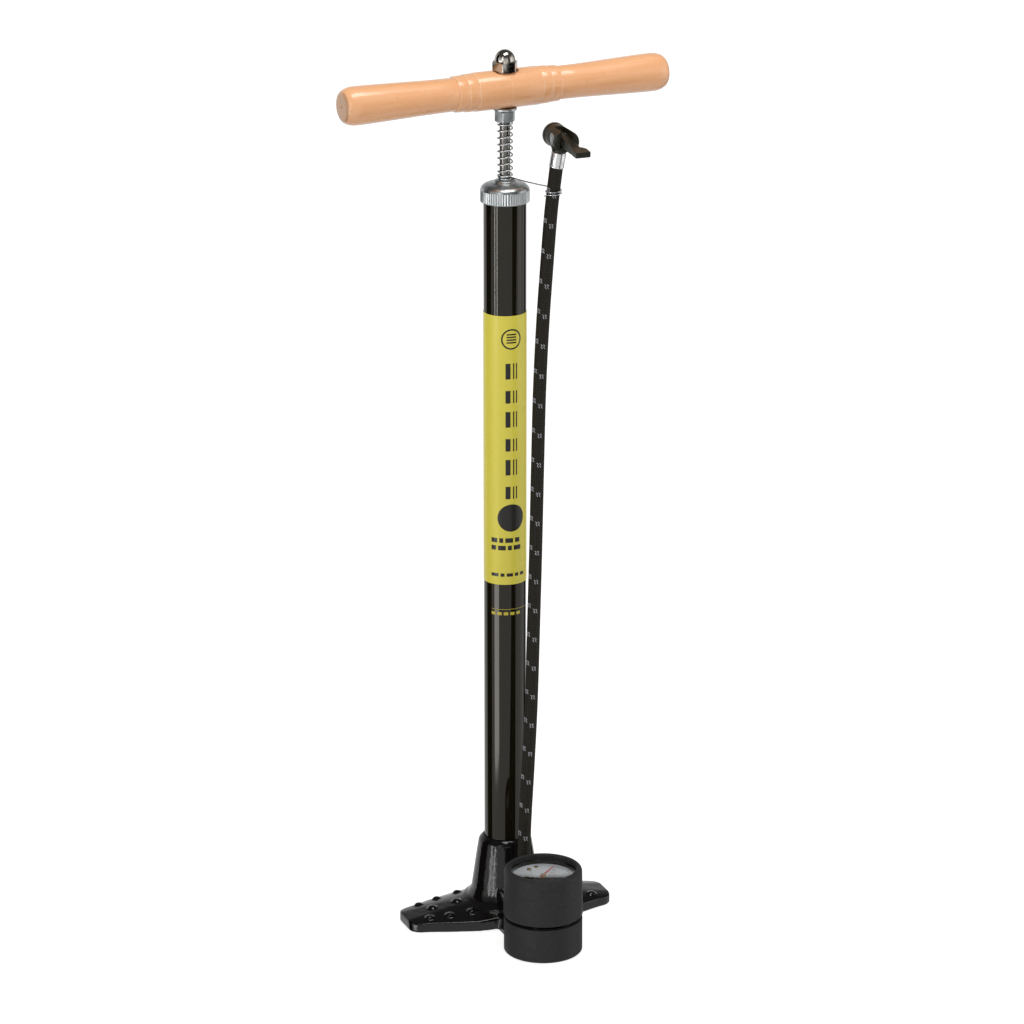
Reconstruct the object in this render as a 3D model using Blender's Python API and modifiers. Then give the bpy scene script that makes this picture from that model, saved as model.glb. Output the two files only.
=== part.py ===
"""Floor bike pump with a T-handle, a coil buffer spring, a pressure gauge and a braided hose.

The origin is on the floor under the barrel's axis. +X runs along the two foot wings, -Y points
to the gauge and +Z up the barrel. All lengths are in metres.
"""

import math

import bmesh
import bpy
from mathutils import Quaternion, Vector

# ---------------------------------------------------------------- driving dimensions
GAP = 0.0003  # between neighbours that touch on the real object
THIN_GAP = 0.0001  # under the label, whose facets follow the barrel's
OVERSHOOT = 0.0010  # how far a cutter runs past the surface it opens
ROUND = 36  # segments of the large turned parts
MEDIUM = 24
FINE_BORE = 20
SMALL = 12
TINY = 10

BARREL_R = 0.0160
BARREL_BORE_R = 0.0148
BARREL_BOTTOM = 0.0201
BARREL_TOP = 0.5745
LABEL_BOTTOM = 0.2730
LABEL_TOP = 0.4841
LABEL_THICKNESS = 0.0002

POCKET_FLOOR = 0.0180  # floor of the socket that holds the barrel
GASKET_TOP = 0.0198
GASKET_BORE_R = 0.0128
SOCKET_TOP = 0.0650
SOCKET_SIDE = ((0.0168, SOCKET_TOP), (0.0203, 0.0615), (0.0221, 0.0505), (0.0262, 0.0215),
               (0.0290, 0.0165), (0.0335, 0.0140))
SOCKET_FOOT = 0.0010
PLATE_TOP = 0.0300  # the plate is cut down from here to its crown
WING_HALF_SPAN = 0.0832
WING_EDGE = ((0.0, 0.0345), (0.0330, 0.0318), (0.0550, 0.0250), (0.0700, 0.0196))
WING_CORNER_R = 0.0105
WING_RIDGE_HEIGHT = 0.0190  # height of the crown's ridge carried in to the barrel's axis
WING_SLOPE = 0.13
WING_CROWN_R = 0.0750
CROWN_LENGTH = 0.1150
CROWN_OVERLAP = 0.0120  # of the two halves, past the barrel's axis
CROWN_SEGMENTS = 80
WING_POCKET_DEPTH = 0.0045
WING_POCKET_EDGE = ((0.0300, 0.0250), (0.0480, 0.0215), (0.0650, 0.0165), (0.0770, 0.0080))
BUMP_R = 0.0034
BUMP_HEIGHT = 0.0014
BUMP_ROOT = 0.0020  # how deep a bump's foot sinks into the wing
BUMPS = ((0.066, 0.0145), (0.050, 0.0180), (0.032, 0.0205), (0.060, 0.001), (0.040, 0.001),
         (0.067, -0.0125), (0.052, -0.0160), (0.035, -0.0185))
BRIDGE_TOP = 0.0280
BRIDGE_HALF_TOP = 0.0142
BRIDGE_HALF_FOOT = 0.0182
BRIDGE_FRONT = -0.0600
BRIDGE_BACK = -0.0195

GAUGE_Y = -0.0800
GAUGE_FOOT_R = 0.0299
GAUGE_FOOT_TOP = 0.0268
GAUGE_FOOT_FLOOR = 0.0028
LUG_R = 0.0260
LUG_BOTTOM = 0.0033
LUG_TOP = 0.0270
HOUSING_BOTTOM = 0.0290
HOUSING_TOP = 0.0672
HOUSING_FLOOR = 0.0321
HOUSING_FOOT_R = 0.0303
HOUSING_RIM_R = 0.0295
HOUSING_MOUTH_R = 0.0242
CASE_R = 0.0269
CASE_BORE_R = 0.0261
CASE_BOTTOM = 0.0324
CASE_TOP = 0.0624
STEM_R = 0.0050
STEM_BOTTOM = 0.0175
STEM_TOP = 0.0490
DIAL_R = 0.0256
DIAL_BOTTOM = 0.0561
DIAL_TOP = 0.0566
RIVET_HEIGHT = 0.0010
DIAL_RIVETS = (("dial_rivet_left", -0.0040, 0.0178), ("dial_rivet_right", 0.0022, 0.0195))
NEEDLE_BOTTOM = 0.0596
NEEDLE_TOP = 0.0600
NEEDLE_ANGLE = math.radians(42)
NEEDLE_REACH = 0.0190
NEEDLE_TAIL = 0.0070
LENS_BOTTOM = 0.0610

FITTING_AT = (0.0015, -0.0358)
FITTING_ACROSS = 0.0135
FITTING_HEX_TOP = 0.0335
FITTING_BOTTOM = 0.0194
VALVE_BORE_R = 0.0063
VALVE_BORE_BOTTOM = 0.0050
PASSAGE_R = 0.0015
INLET_LEVEL = 0.0075
GAUGE_WAY_LEVEL = 0.0160
HOSE_R = 0.0050
FERRULE_R = 0.0056
LOWER_FERRULE = (0.0360, 0.0497)
HOSE_ROUTE = ((0.0015, -0.0358, 0.0500), (0.0022, -0.0360, 0.0850), (0.0045, -0.0365, 0.1300),
              (0.0070, -0.0370, 0.1850), (0.0088, -0.0372, 0.2500), (0.0103, -0.0374, 0.3100),
              (0.0117, -0.0374, 0.3750), (0.0130, -0.0376, 0.4300), (0.0152, -0.0380, 0.4800),
              (0.0180, -0.0388, 0.5250), (0.0211, -0.0396, 0.5680), (0.0246, -0.0408, 0.6011))
HOSE_SPACING = 0.0230

CHUCK_AT = Vector((0.0280, -0.0421, 0.6231))
CHUCK_R = 0.0090
CHUCK_FRONT = 0.0145  # from the head's centre to its lever end, towards -Y
CHUCK_BACK = 0.0165  # from the head's centre to its valve mouth, towards +Y
CHUCK_BORE_R = 0.0063
CHUCK_SLOT_HALF = 0.0037
PIN_AT = CHUCK_AT + Vector((0.0, -0.0015, 0.0008))
PIN_R = 0.0016
RIVET_R = 0.0038
RIVET_SEAT = 0.0073  # from the pin's middle to the flat that a rivet head sits on
CAM_R = 0.0042
CAM_HALF = 0.0034
ARM_LOW = (-0.0030, -0.0350, -0.0032)  # from the pin, before the lever is tilted
ARM_HIGH = (0.0030, -0.0010, 0.0018)
PADDLE_LOW = (-0.0050, -0.0420, -0.0016)
PADDLE_HIGH = (0.0050, -0.0305, 0.0024)
LEVER_TILT = math.radians(5)  # its paddle hangs below the head's axis
NECK_AXIS = Vector((0.150, -0.060, 0.987)).normalized()
NECK_LENGTH = 0.0096
FERRULE_LENGTH = 0.0120
NECK_SIDE = ((0.0066, 0.0), (0.0066, -0.0070), (0.0057, -0.0086), (0.0057, -NECK_LENGTH))

ROD_R = 0.00395
ROD_HOLE_R = 0.0043
ROD_BOTTOM = 0.0415
ROD_TOP = 0.6785
CAP_R = 0.0184
CAP_BOTTOM = 0.5680
CAP_TOP = 0.5850
CAP_BORE_R = 0.0047
CAP_BUSH_R = 0.0065  # inside the boss, round the bush
CAP_SIDE = ((0.0070, CAP_TOP), (0.0078, 0.5842), (0.0087, 0.5828), (0.0120, 0.5824),
            (0.0152, 0.5814), (0.0174, 0.5800), (CAP_R, 0.5782), (CAP_R, 0.5700),
            (0.0170, CAP_BOTTOM))
BUSH_BOTTOM = 0.5600
BUSH_TOP = 0.5829
SPRING_R = 0.0055  # to the middle of the wire
SPRING_WIRE_R = 0.0006
SPRING_BOTTOM = 0.5872
SPRING_TOP = 0.6284
SPRING_TURNS = 7.5
SPRING_END_PITCH = 0.0015
CLIP_WIRE_R = 0.0005
CLIP_LOOP_R = 0.0050
CLIP_HEIGHT = 0.5858

HANDLE_HEIGHT = 0.6536
HANDLE_YAW = math.radians(5)
HANDLE_HALF = 0.1318
HANDLE_SIDE = ((0.0, 0.0144), (0.0260, 0.0144), (0.0262, 0.0141), (0.0338, 0.0139),
               (0.0340, 0.0136), (0.0418, 0.0132), (0.0421, 0.0124), (0.0700, 0.0128),
               (0.1150, 0.0143))
HANDLE_END = (0.0105, 0.0050)  # length and depth of the rounding at each end
HANDLE_FLAT_TOP = 0.6664
HANDLE_FLAT_BOTTOM = 0.6401
FLAT_TOP_R = 0.0102
FLAT_BOTTOM_R = 0.0092
WASHER_R = 0.0089
ACORN_BOTTOM = 0.6667
ACORN_SHOULDER = 0.6748
ACORN_TOP = 0.6832
ACORN_ACROSS = 0.0173
ACORN_DOME_R = 0.0076
NUT_ACROSS = 0.0140
NUT_BOTTOM = 0.6293
NUT_TOP = 0.6375

PISTON_R = 0.0143
PISTON_TOP = 0.0620
PISTON_BOTTOM = 0.0473
GROOVE_R = 0.0120
GROOVE_BOTTOM = 0.0520
GROOVE_TOP = 0.0550
PISTON_NUT_ACROSS = 0.0130
PISTON_CHAMFER = 0.0008


# ---------------------------------------------------------------- tools
def empty_the_scene():
    for obj in list(bpy.data.objects):
        bpy.data.objects.remove(obj, do_unlink=True)


def new_collection(name):
    collection = bpy.data.collections.new(name)
    bpy.context.scene.collection.children.link(collection)
    return collection


def material(name, colour, roughness, metallic=0.0, alpha=1.0):
    made = bpy.data.materials.new(name)
    made.use_nodes = True
    shader = made.node_tree.nodes["Principled BSDF"]
    shader.inputs["Base Color"].default_value = (*colour, 1.0)
    shader.inputs["Roughness"].default_value = roughness
    shader.inputs["Metallic"].default_value = metallic
    shader.inputs["Alpha"].default_value = alpha
    made.diffuse_color = (*colour, alpha)
    return made


def place(obj, finish, at=(0, 0, 0), turn=None):
    """Puts an object in the parts collection, or among the cutters where it has no finish."""
    if finish is None:
        CUTTERS.objects.link(obj)
        obj.hide_render = True
        obj.display_type = "WIRE"
    else:
        PARTS.objects.link(obj)
        obj.data.materials.append(finish)
    obj.location = at
    if turn is not None:
        obj.rotation_mode = "QUATERNION"
        obj.rotation_quaternion = turn
    return obj


def from_bmesh(name, mesh, finish, at=(0, 0, 0), turn=None):
    data = bpy.data.meshes.new(name)
    mesh.to_mesh(data)
    mesh.free()
    data.shade_smooth()
    data.set_sharp_from_angle(angle=math.radians(35))
    return place(bpy.data.objects.new(name, data), finish, at, turn)


def turned(name, profile, finish, steps=MEDIUM, at=(0, 0, 0), turn=None, ring=False):
    """Spins (radius, height) points round +Z. A solid's profile starts and ends on the axis."""
    data = bpy.data.meshes.new(name)
    edges = [(i, i + 1) for i in range(len(profile) - 1)]
    if ring:
        edges.append((len(profile) - 1, 0))
    data.from_pydata([(r, 0.0, z) for r, z in profile], edges, [])
    obj = place(bpy.data.objects.new(name, data), finish, at, turn)
    screw = obj.modifiers.new("Screw", "SCREW")
    screw.steps = steps
    screw.render_steps = steps
    screw.use_merge_vertices = True
    screw.merge_threshold = 0.00001
    screw.use_smooth_shade = False
    return obj


def rod(name, radius, bottom, top, finish, steps=SMALL, at=(0, 0, 0), turn=None):
    profile = [(0, top), (radius, top), (radius, bottom), (0, bottom)]
    return turned(name, profile, finish, steps, at, turn)


def tube(name, inner, outer, bottom, top, finish, steps=MEDIUM, at=(0, 0, 0), turn=None):
    profile = [(inner, top), (outer, top), (outer, bottom), (inner, bottom)]
    return turned(name, profile, finish, steps, at, turn, ring=True)


def box(name, low, high, finish=None, at=(0, 0, 0), turn=None):
    mesh = bmesh.new()
    bmesh.ops.create_cube(mesh, size=1.0)
    size = [b - a for a, b in zip(low, high)]
    middle = [(a + b) / 2 for a, b in zip(low, high)]
    bmesh.ops.scale(mesh, vec=size, verts=mesh.verts)
    bmesh.ops.translate(mesh, vec=middle, verts=mesh.verts)
    return from_bmesh(name, mesh, finish, at, turn)


def prism(name, outline, bottom, top, finish=None, at=(0, 0)):
    """A flat outline in the XY plane, extruded from bottom to top, as a mesh."""
    curve = bpy.data.curves.new(name, "CURVE")
    curve.dimensions = "2D"
    curve.fill_mode = "BOTH"
    curve.extrude = (top - bottom) / 2
    spline = curve.splines.new("POLY")
    spline.points.add(len(outline) - 1)
    for point, (x, y) in zip(spline.points, outline):
        point.co = (x, y, 0.0, 1.0)
    spline.use_cyclic_u = True
    guide = bpy.data.objects.new(name, curve)
    CUTTERS.objects.link(guide)
    return meshed(guide, finish, (at[0], at[1], (bottom + top) / 2))


def meshed(guide, finish, at=(0, 0, 0)):
    """Turns a curve object into a mesh object with its caps welded, and removes the curve."""
    bpy.context.view_layer.update()
    graph = bpy.context.evaluated_depsgraph_get()
    data = bpy.data.meshes.new_from_object(guide.evaluated_get(graph))
    name = guide.name
    bpy.data.objects.remove(guide, do_unlink=True)
    mesh = bmesh.new()
    mesh.from_mesh(data)
    bmesh.ops.remove_doubles(mesh, verts=mesh.verts, dist=0.00001)
    bpy.data.meshes.remove(data)
    return from_bmesh(name, mesh, finish, at)


def wire(name, points, radius, finish, at=(0, 0, 0)):
    """A round wire or hose along its points, eight-sided."""
    curve = bpy.data.curves.new(name, "CURVE")
    curve.dimensions = "3D"
    curve.bevel_depth = radius
    curve.bevel_resolution = 2
    curve.use_fill_caps = True
    spline = curve.splines.new("POLY")
    spline.points.add(len(points) - 1)
    for point, (x, y, z) in zip(spline.points, points):
        point.co = (x, y, z, 1.0)
    return place(bpy.data.objects.new(name, curve), finish, at)


def combine(obj, other, operation="DIFFERENCE", solver="EXACT"):
    modifier = obj.modifiers.new(operation.title() + " " + other.name, "BOOLEAN")
    modifier.operation = operation
    modifier.object = other
    modifier.solver = solver
    return obj


def fuse(obj, other):
    return combine(obj, other, "UNION", "MANIFOLD")


def carve(obj, other):
    """Cuts with the MANIFOLD solver, because EXACT leaves solids with crossing bores open."""
    return combine(obj, other, "DIFFERENCE", "MANIFOLD")


def hexagon(across):
    corner = across / math.sqrt(3)
    return [(corner * math.cos(a), corner * math.sin(a))
            for a in (math.radians(60 * i) for i in range(6))]


def arc(centre, radius, start, end, count):
    """Points on an arc, angles in degrees."""
    steps = [math.radians(start + (end - start) * i / (count - 1)) for i in range(count)]
    return [(centre[0] + radius * math.cos(a), centre[1] + radius * math.sin(a)) for a in steps]


def along(axis):
    """The rotation that turns +Z to this direction."""
    return Vector((0, 0, 1)).rotation_difference(Vector(axis))


def smooth_route(points, spacing):
    """Catmull-Rom points through a route, about this far apart."""
    knots = [Vector(p) for p in points]
    knots = [2 * knots[0] - knots[1]] + knots + [2 * knots[-1] - knots[-2]]
    out = []
    for a, b, c, d in zip(knots, knots[1:], knots[2:], knots[3:]):
        count = max(1, round((c - b).length / spacing))
        for i in range(count):
            t = i / count
            out.append(0.5 * (2 * b + (c - a) * t + (2 * a - 5 * b + 4 * c - d) * t * t
                              + (3 * b - a - 3 * c + d) * t ** 3))
    return out + [knots[-2]]


# ---------------------------------------------------------------- cast base
def wing_outline():
    """Half of the base plate's outline, from the +Y middle round the +X tip to the -Y middle."""
    corner = (WING_HALF_SPAN - WING_CORNER_R, WING_EDGE[-1][1] - WING_CORNER_R - 0.0008)
    back = list(WING_EDGE) + arc(corner, WING_CORNER_R, 75, 0, 5)
    return back + [(x, -y) for x, y in reversed(back)]


def base_plate():
    right = wing_outline()
    left = [(-x, y) for x, y in reversed(right)][1:-1]
    plate = prism("base_casting", right + left, 0.0, PLATE_TOP, BLACK_CAST)
    crown = None
    for side in (-1, 1):
        lean = Vector((side, 0, -WING_SLOPE)).normalized()
        start = Vector((0, 0, WING_RIDGE_HEIGHT - WING_CROWN_R)) - CROWN_OVERLAP * lean
        half = rod("crown_" + ("left" if side < 0 else "right"), WING_CROWN_R, 0.0, CROWN_LENGTH,
                   None, CROWN_SEGMENTS, start, along(lean))
        crown = half if crown is None else combine(crown, half, "UNION")
    return combine(plate, crown, "INTERSECT")


def wing_top(x, y):
    drop = WING_CROWN_R - math.sqrt(WING_CROWN_R ** 2 - y ** 2)
    return WING_RIDGE_HEIGHT - WING_SLOPE * abs(x) - drop


def bump_profile():
    """A low dome whose foot sinks into the wing."""
    radius = (BUMP_R ** 2 + BUMP_HEIGHT ** 2) / (2 * BUMP_HEIGHT)
    half = math.asin(BUMP_R / radius)
    dome = [(radius * math.sin(half * i / 2), radius * math.cos(half * i / 2) - radius
             + BUMP_HEIGHT) for i in range(3)]
    return dome + [(BUMP_R, -BUMP_ROOT), (0, -BUMP_ROOT)]


def bridge():
    """The tapered block that carries the hose port and runs forward to the gauge's lug."""
    block = box("bridge", (-1, BRIDGE_FRONT, 0.0), (1, BRIDGE_BACK, BRIDGE_TOP))
    for vertex in block.data.vertices:
        half = BRIDGE_HALF_TOP if vertex.co.z > BRIDGE_TOP / 2 else BRIDGE_HALF_FOOT
        vertex.co.x = math.copysign(half, vertex.co.x)
    return block


def wing_pocket(side):
    """The hollow under a wing."""
    half = [(side * x, y) for x, y in WING_POCKET_EDGE]
    return prism("pocket_" + ("left" if side < 0 else "right"),
                 half + [(x, -y) for x, y in reversed(half)], -OVERSHOOT, WING_POCKET_DEPTH)


def base_casting():
    base = base_plate()
    combine(base, bridge(), "UNION")
    gauge = (0, GAUGE_Y, 0)
    relief = rod("foot_relief", GAUGE_FOOT_R + GAP, -OVERSHOOT, LUG_BOTTOM, None, ROUND, gauge)
    combine(base, relief)
    combine(base, rod("lug", LUG_R, LUG_BOTTOM + 0.0002, LUG_TOP, None, ROUND, gauge), "UNION")
    fuse(base, socket())
    for side in (-1, 1):
        for number, (x, y) in enumerate(BUMPS):
            fuse(base, turned(f"bump_{number}_{side}", bump_profile(), None, 8,
                              (side * x, y, wing_top(x, y))))
        carve(base, wing_pocket(side))
    carve(base, rod("barrel_pocket", BARREL_R + GAP, POCKET_FLOOR, SOCKET_TOP + 0.0150, None, ROUND))
    air_ways(base)


def socket():
    profile = [(0, SOCKET_TOP), *SOCKET_SIDE, (SOCKET_SIDE[-1][0], SOCKET_FOOT), (0, SOCKET_FOOT)]
    return turned("socket", profile, None, ROUND)


def air_ways(base):
    """Bores for the check valve, the hose fitting and the gauge stem, and what joins them."""
    x, y = FITTING_AT
    cuts = [
        rod("valve_bore", VALVE_BORE_R, VALVE_BORE_BOTTOM, BRIDGE_TOP + 2 * OVERSHOOT, None,
            SMALL, (x, y, 0)),
        rod("stem_bore", STEM_R + GAP, 0.0140, LUG_TOP + 3 * OVERSHOOT, None, SMALL,
            (0, GAUGE_Y, 0)),
        rod("barrel_outlet", 0.0020, 0.0055, 0.0250, None, SMALL),
        rod("inlet_way", PASSAGE_R, 0.0, -y - OVERSHOOT, None, SMALL, (0, OVERSHOOT, INLET_LEVEL),
            along((x, y - OVERSHOOT, 0))),
        rod("gauge_way", PASSAGE_R, 0.0, y - GAUGE_Y, None, SMALL, (x, y, GAUGE_WAY_LEVEL),
            along((-x, GAUGE_Y - y, 0))),
    ]
    for cutter in cuts:
        carve(base, cutter)


# ---------------------------------------------------------------- barrel, cap and label
def barrel_group():
    tube("barrel_gasket", GASKET_BORE_R, BARREL_R - THIN_GAP, POCKET_FLOOR + GAP, GASKET_TOP,
         RUBBER)
    tube("barrel_tube", BARREL_BORE_R, BARREL_R, BARREL_BOTTOM, BARREL_TOP, BLACK_PAINT, ROUND)
    tube("label_sleeve", BARREL_R + THIN_GAP, BARREL_R + THIN_GAP + LABEL_THICKNESS,
         LABEL_BOTTOM, LABEL_TOP, YELLOW_FILM, ROUND)


def top_cap():
    roof = BARREL_TOP + GAP
    profile = [(CAP_BORE_R, CAP_TOP), *CAP_SIDE, (BARREL_R + GAP, CAP_BOTTOM),
               (BARREL_R + GAP, roof), (CAP_BUSH_R, roof), (CAP_BUSH_R, BUSH_TOP + GAP),
               (CAP_BORE_R, BUSH_TOP + 2 * GAP)]
    turned("top_cap", profile, ZINC, ROUND, ring=True)
    tube("rod_bush", ROD_R + THIN_GAP, CAP_BUSH_R - GAP, BUSH_BOTTOM, BUSH_TOP, NYLON)


# ---------------------------------------------------------------- rod, handle and piston
def handle():
    """A turned beech T-handle, modelled along +Z and laid across the rod."""
    length, depth = HANDLE_END
    end = [(HANDLE_HALF - length + length * x, HANDLE_SIDE[-1][1] - depth + depth * y)
           for x, y in arc((0, 0), 1, 90, 0, 5)]
    half = [*HANDLE_SIDE, *end, (HANDLE_HALF, 0)]
    profile = [(r, x) for x, r in reversed(half)] + [(r, -x) for x, r in half[1:]]
    direction = (math.cos(HANDLE_YAW), math.sin(HANDLE_YAW), 0)
    body = turned("handle", profile, BEECH, 20, (0, 0, HANDLE_HEIGHT), along(direction))
    top, bottom = HANDLE_HEIGHT + 0.0250, HANDLE_HEIGHT - 0.0250
    combine(body, rod("handle_hole", ROD_HOLE_R, bottom, top, None, MEDIUM))
    combine(body, rod("handle_flat_top", FLAT_TOP_R, HANDLE_FLAT_TOP, top, None, MEDIUM))
    combine(body, rod("handle_flat_bottom", FLAT_BOTTOM_R, bottom, HANDLE_FLAT_BOTTOM, None,
                      MEDIUM))


def nut(name, across, bottom, top, finish):
    body = prism(name, hexagon(across), bottom, top, finish)
    hole = rod(name + "_hole", ROD_HOLE_R, bottom - OVERSHOOT, top + OVERSHOOT, None, MEDIUM)
    return combine(body, hole)


def acorn_nut():
    body = prism("acorn_nut", hexagon(ACORN_ACROSS), ACORN_BOTTOM, ACORN_SHOULDER, CHROME)
    rise = ACORN_TOP - ACORN_DOME_R
    dome = [(r, rise + z) for r, z in arc((0, 0), ACORN_DOME_R, 90, 0, 6)]
    foot = [(ACORN_DOME_R, ACORN_SHOULDER - OVERSHOOT), (0, ACORN_SHOULDER - OVERSHOOT)]
    dome[0] = (0, ACORN_TOP)
    combine(body, turned("acorn_dome", dome + foot, None, MEDIUM), "UNION")
    combine(body, rod("acorn_hole", ROD_HOLE_R, ACORN_BOTTOM - OVERSHOOT, ROD_TOP + 0.0005, None,
                      MEDIUM))


def spring_points():
    """Two close end coils and the open turns between them."""
    end_rise = SPRING_END_PITCH
    open_rise = SPRING_TOP - SPRING_BOTTOM - 2 * end_rise
    turns = SPRING_TURNS + 2
    count = round(turns * 8)
    points = []
    for i in range(count + 1):
        t = turns * i / count
        if t < 1:
            z = SPRING_BOTTOM + end_rise * t
        elif t > turns - 1:
            z = SPRING_TOP - end_rise * (turns - t)
        else:
            z = SPRING_BOTTOM + end_rise + open_rise * (t - 1) / SPRING_TURNS
        a = 2 * math.pi * t
        points.append((SPRING_R * math.cos(a), SPRING_R * math.sin(a), z))
    return points


def rod_group():
    rod("pump_rod", ROD_R, ROD_BOTTOM, ROD_TOP, STEEL, MEDIUM)
    handle()
    acorn_nut()
    tube("handle_washer", ROD_HOLE_R, WASHER_R, NUT_TOP + GAP, HANDLE_FLAT_BOTTOM - GAP, ZINC)
    nut("handle_nut", NUT_ACROSS, NUT_BOTTOM, NUT_TOP, ZINC)
    wire("buffer_spring", spring_points(), SPRING_WIRE_R, STEEL)


def piston_group():
    nut("piston_top_nut", PISTON_NUT_ACROSS, PISTON_TOP + GAP, PISTON_TOP + 0.0050, ZINC)
    head = [(ROD_HOLE_R, PISTON_TOP), (PISTON_R - PISTON_CHAMFER, PISTON_TOP),
            (PISTON_R, PISTON_TOP - PISTON_CHAMFER), (PISTON_R, GROOVE_TOP),
            (GROOVE_R, GROOVE_TOP),
            (GROOVE_R, GROOVE_BOTTOM), (PISTON_R, GROOVE_BOTTOM), (PISTON_R, PISTON_BOTTOM),
            (ROD_HOLE_R, PISTON_BOTTOM)]
    turned("piston_head", head, NYLON, MEDIUM, ring=True)
    centre = ((PISTON_R + GROOVE_R) / 2 + 0.0003, (GROOVE_TOP + GROOVE_BOTTOM) / 2)
    section = arc(centre, 0.00112, 180, -120, 6)
    turned("piston_ring", section, RUBBER, MEDIUM, ring=True)
    washer_bottom = PISTON_BOTTOM - 0.0015
    tube("piston_washer", ROD_HOLE_R, 0.0095, washer_bottom, PISTON_BOTTOM - GAP, ZINC)
    nut("piston_nut", PISTON_NUT_ACROSS, ROD_BOTTOM - 0.0002, washer_bottom - GAP, ZINC)


# ---------------------------------------------------------------- check valve and hose
def valve_spring_points():
    turns = 4
    return [(0.0031 * math.cos(2 * math.pi * t), 0.0031 * math.sin(2 * math.pi * t),
             0.0136 + 0.0052 * t / turns) for t in (i / 6 for i in range(turns * 6 + 1))]


def valve_group():
    at = (*FITTING_AT, 0)
    seat_r = VALVE_BORE_R - GAP
    tube("valve_seat", 0.0020, seat_r, 0.0092, 0.0112, BRASS, SMALL, at)
    rod("valve_disc", 0.0044, 0.0115, 0.0130, RUBBER, SMALL, at)
    wire("valve_spring", valve_spring_points(), 0.00025, STEEL, at)
    fitting = prism("hose_fitting", hexagon(FITTING_ACROSS), BRIDGE_TOP + GAP, FITTING_HEX_TOP,
                    BRASS, FITTING_AT)
    barb_top = LOWER_FERRULE[1] - 0.0010
    shank = [(0, barb_top), (0.0023, barb_top), (0.0023, FITTING_HEX_TOP - 0.0005),
             (seat_r, FITTING_HEX_TOP - 0.0025), (seat_r, FITTING_BOTTOM), (0, FITTING_BOTTOM)]
    combine(fitting, turned("fitting_shank", shank, None, SMALL, at), "UNION")
    combine(fitting, rod("fitting_bore", 0.0010, 0.0, 0.06, None, TINY, at))
    tube("lower_ferrule", 0.0026, FERRULE_R, *LOWER_FERRULE, ZINC, FINE_BORE, at)


def hose_group():
    wire("hose", smooth_route(HOSE_ROUTE, HOSE_SPACING), HOSE_R, BRAID)
    top = CHUCK_AT - NECK_AXIS * (NECK_LENGTH + GAP)
    tube("upper_ferrule", 0.0022, FERRULE_R, -FERRULE_LENGTH, 0.0, ALUMINIUM, FINE_BORE, top,
         along(NECK_AXIS))
    wire("wire_clip", clip_points(), CLIP_WIRE_R, STEEL)


def clip_points():
    """A loop round the rod on the cap, a straight run to the hose and a wrap round it."""
    hose = Vector((0.0227, -0.0401, 0.0))
    heading = math.atan2(hose.y, hose.x)
    loop = []
    for i in range(11):
        a = heading + math.radians(390 - 30 * i)
        loop.append((CLIP_LOOP_R * math.cos(a), CLIP_LOOP_R * math.sin(a), CLIP_HEIGHT))
    wrap_r = HOSE_R + CLIP_WIRE_R + 0.0005
    wrap = []
    for i in range(19):
        a = heading + math.radians(90 - 30 * i)
        wrap.append((hose.x + wrap_r * math.cos(a), hose.y + wrap_r * math.sin(a),
                     CLIP_HEIGHT - 0.0012 - 0.00014 * i))
    out = Vector(wrap[-1]) - Vector((hose.x, hose.y, wrap[-1][2]))
    tail = Vector(wrap[-1]) + out * 0.9 + Vector((0.0006, 0.0, 0.0002))
    return loop + wrap + [tuple(tail)]


# ---------------------------------------------------------------- chuck
def chuck_cut(name, low, high):
    return box(name, CHUCK_AT + Vector(low), CHUCK_AT + Vector(high))


def chuck_body():
    back = CHUCK_AT.y + CHUCK_BACK
    length = CHUCK_FRONT + CHUCK_BACK
    side = (CHUCK_AT.x, back, CHUCK_AT.z)
    profile = [(0, 0), (CHUCK_R - 0.0012, 0), (CHUCK_R, -0.0012), (CHUCK_R, -length + 0.0006),
               (CHUCK_R - 0.0006, -length), (0, -length)]
    head = turned("chuck_body", profile, BLACK_PLASTIC, MEDIUM, side, along((0, 1, 0)))
    neck = [(0, 0.0), *NECK_SIDE, (0, -NECK_LENGTH)]
    fuse(head, turned("neck", neck, None, FINE_BORE, CHUCK_AT, along(NECK_AXIS)))
    half = CHUCK_SLOT_HALF
    carve(head, chuck_cut("slot_top", (-half, -0.020, -0.0052), (half, 0.0035, 0.0120)))
    carve(head, chuck_cut("slot_front", (-half, -0.020, -0.0120), (half, -0.0080, 0.0)))
    mouth = rod("mouth_bore", CHUCK_BORE_R, -0.0137, OVERSHOOT, None, MEDIUM, side,
                along((0, 1, 0)))
    carve(head, mouth)
    sideways = along((1, 0, 0))
    carve(head, rod("pin_hole", PIN_R + GAP, -0.012, 0.012, None, SMALL, PIN_AT, sideways))
    for sign in (-1, 1):
        low, high = sorted((sign * RIVET_SEAT, sign * 0.012))
        carve(head, rod(f"rivet_seat_{sign}", RIVET_R + GAP, low, high, None, SMALL, PIN_AT,
                        sideways))
    carve(head, rod("air_bore", 0.0010, -0.012, 0.0, None, 8, CHUCK_AT, along(NECK_AXIS)))


def chuck_lever():
    """A cam on the pin, an arm in the slot and a paddle ahead of the head."""
    sideways = along((1, 0, 0))
    tilt = Quaternion((1, 0, 0), LEVER_TILT)
    lever = rod("chuck_lever", CAM_R, -CAM_HALF, CAM_HALF, BLACK_PLASTIC, SMALL, PIN_AT, sideways)
    combine(lever, box("arm", ARM_LOW, ARM_HIGH, None, PIN_AT, tilt), "UNION")
    combine(lever, box("paddle", PADDLE_LOW, PADDLE_HIGH, None, PIN_AT, tilt), "UNION")
    combine(lever, rod("lever_hole", PIN_R + GAP, -0.006, 0.006, None, SMALL, PIN_AT, sideways))


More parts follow.
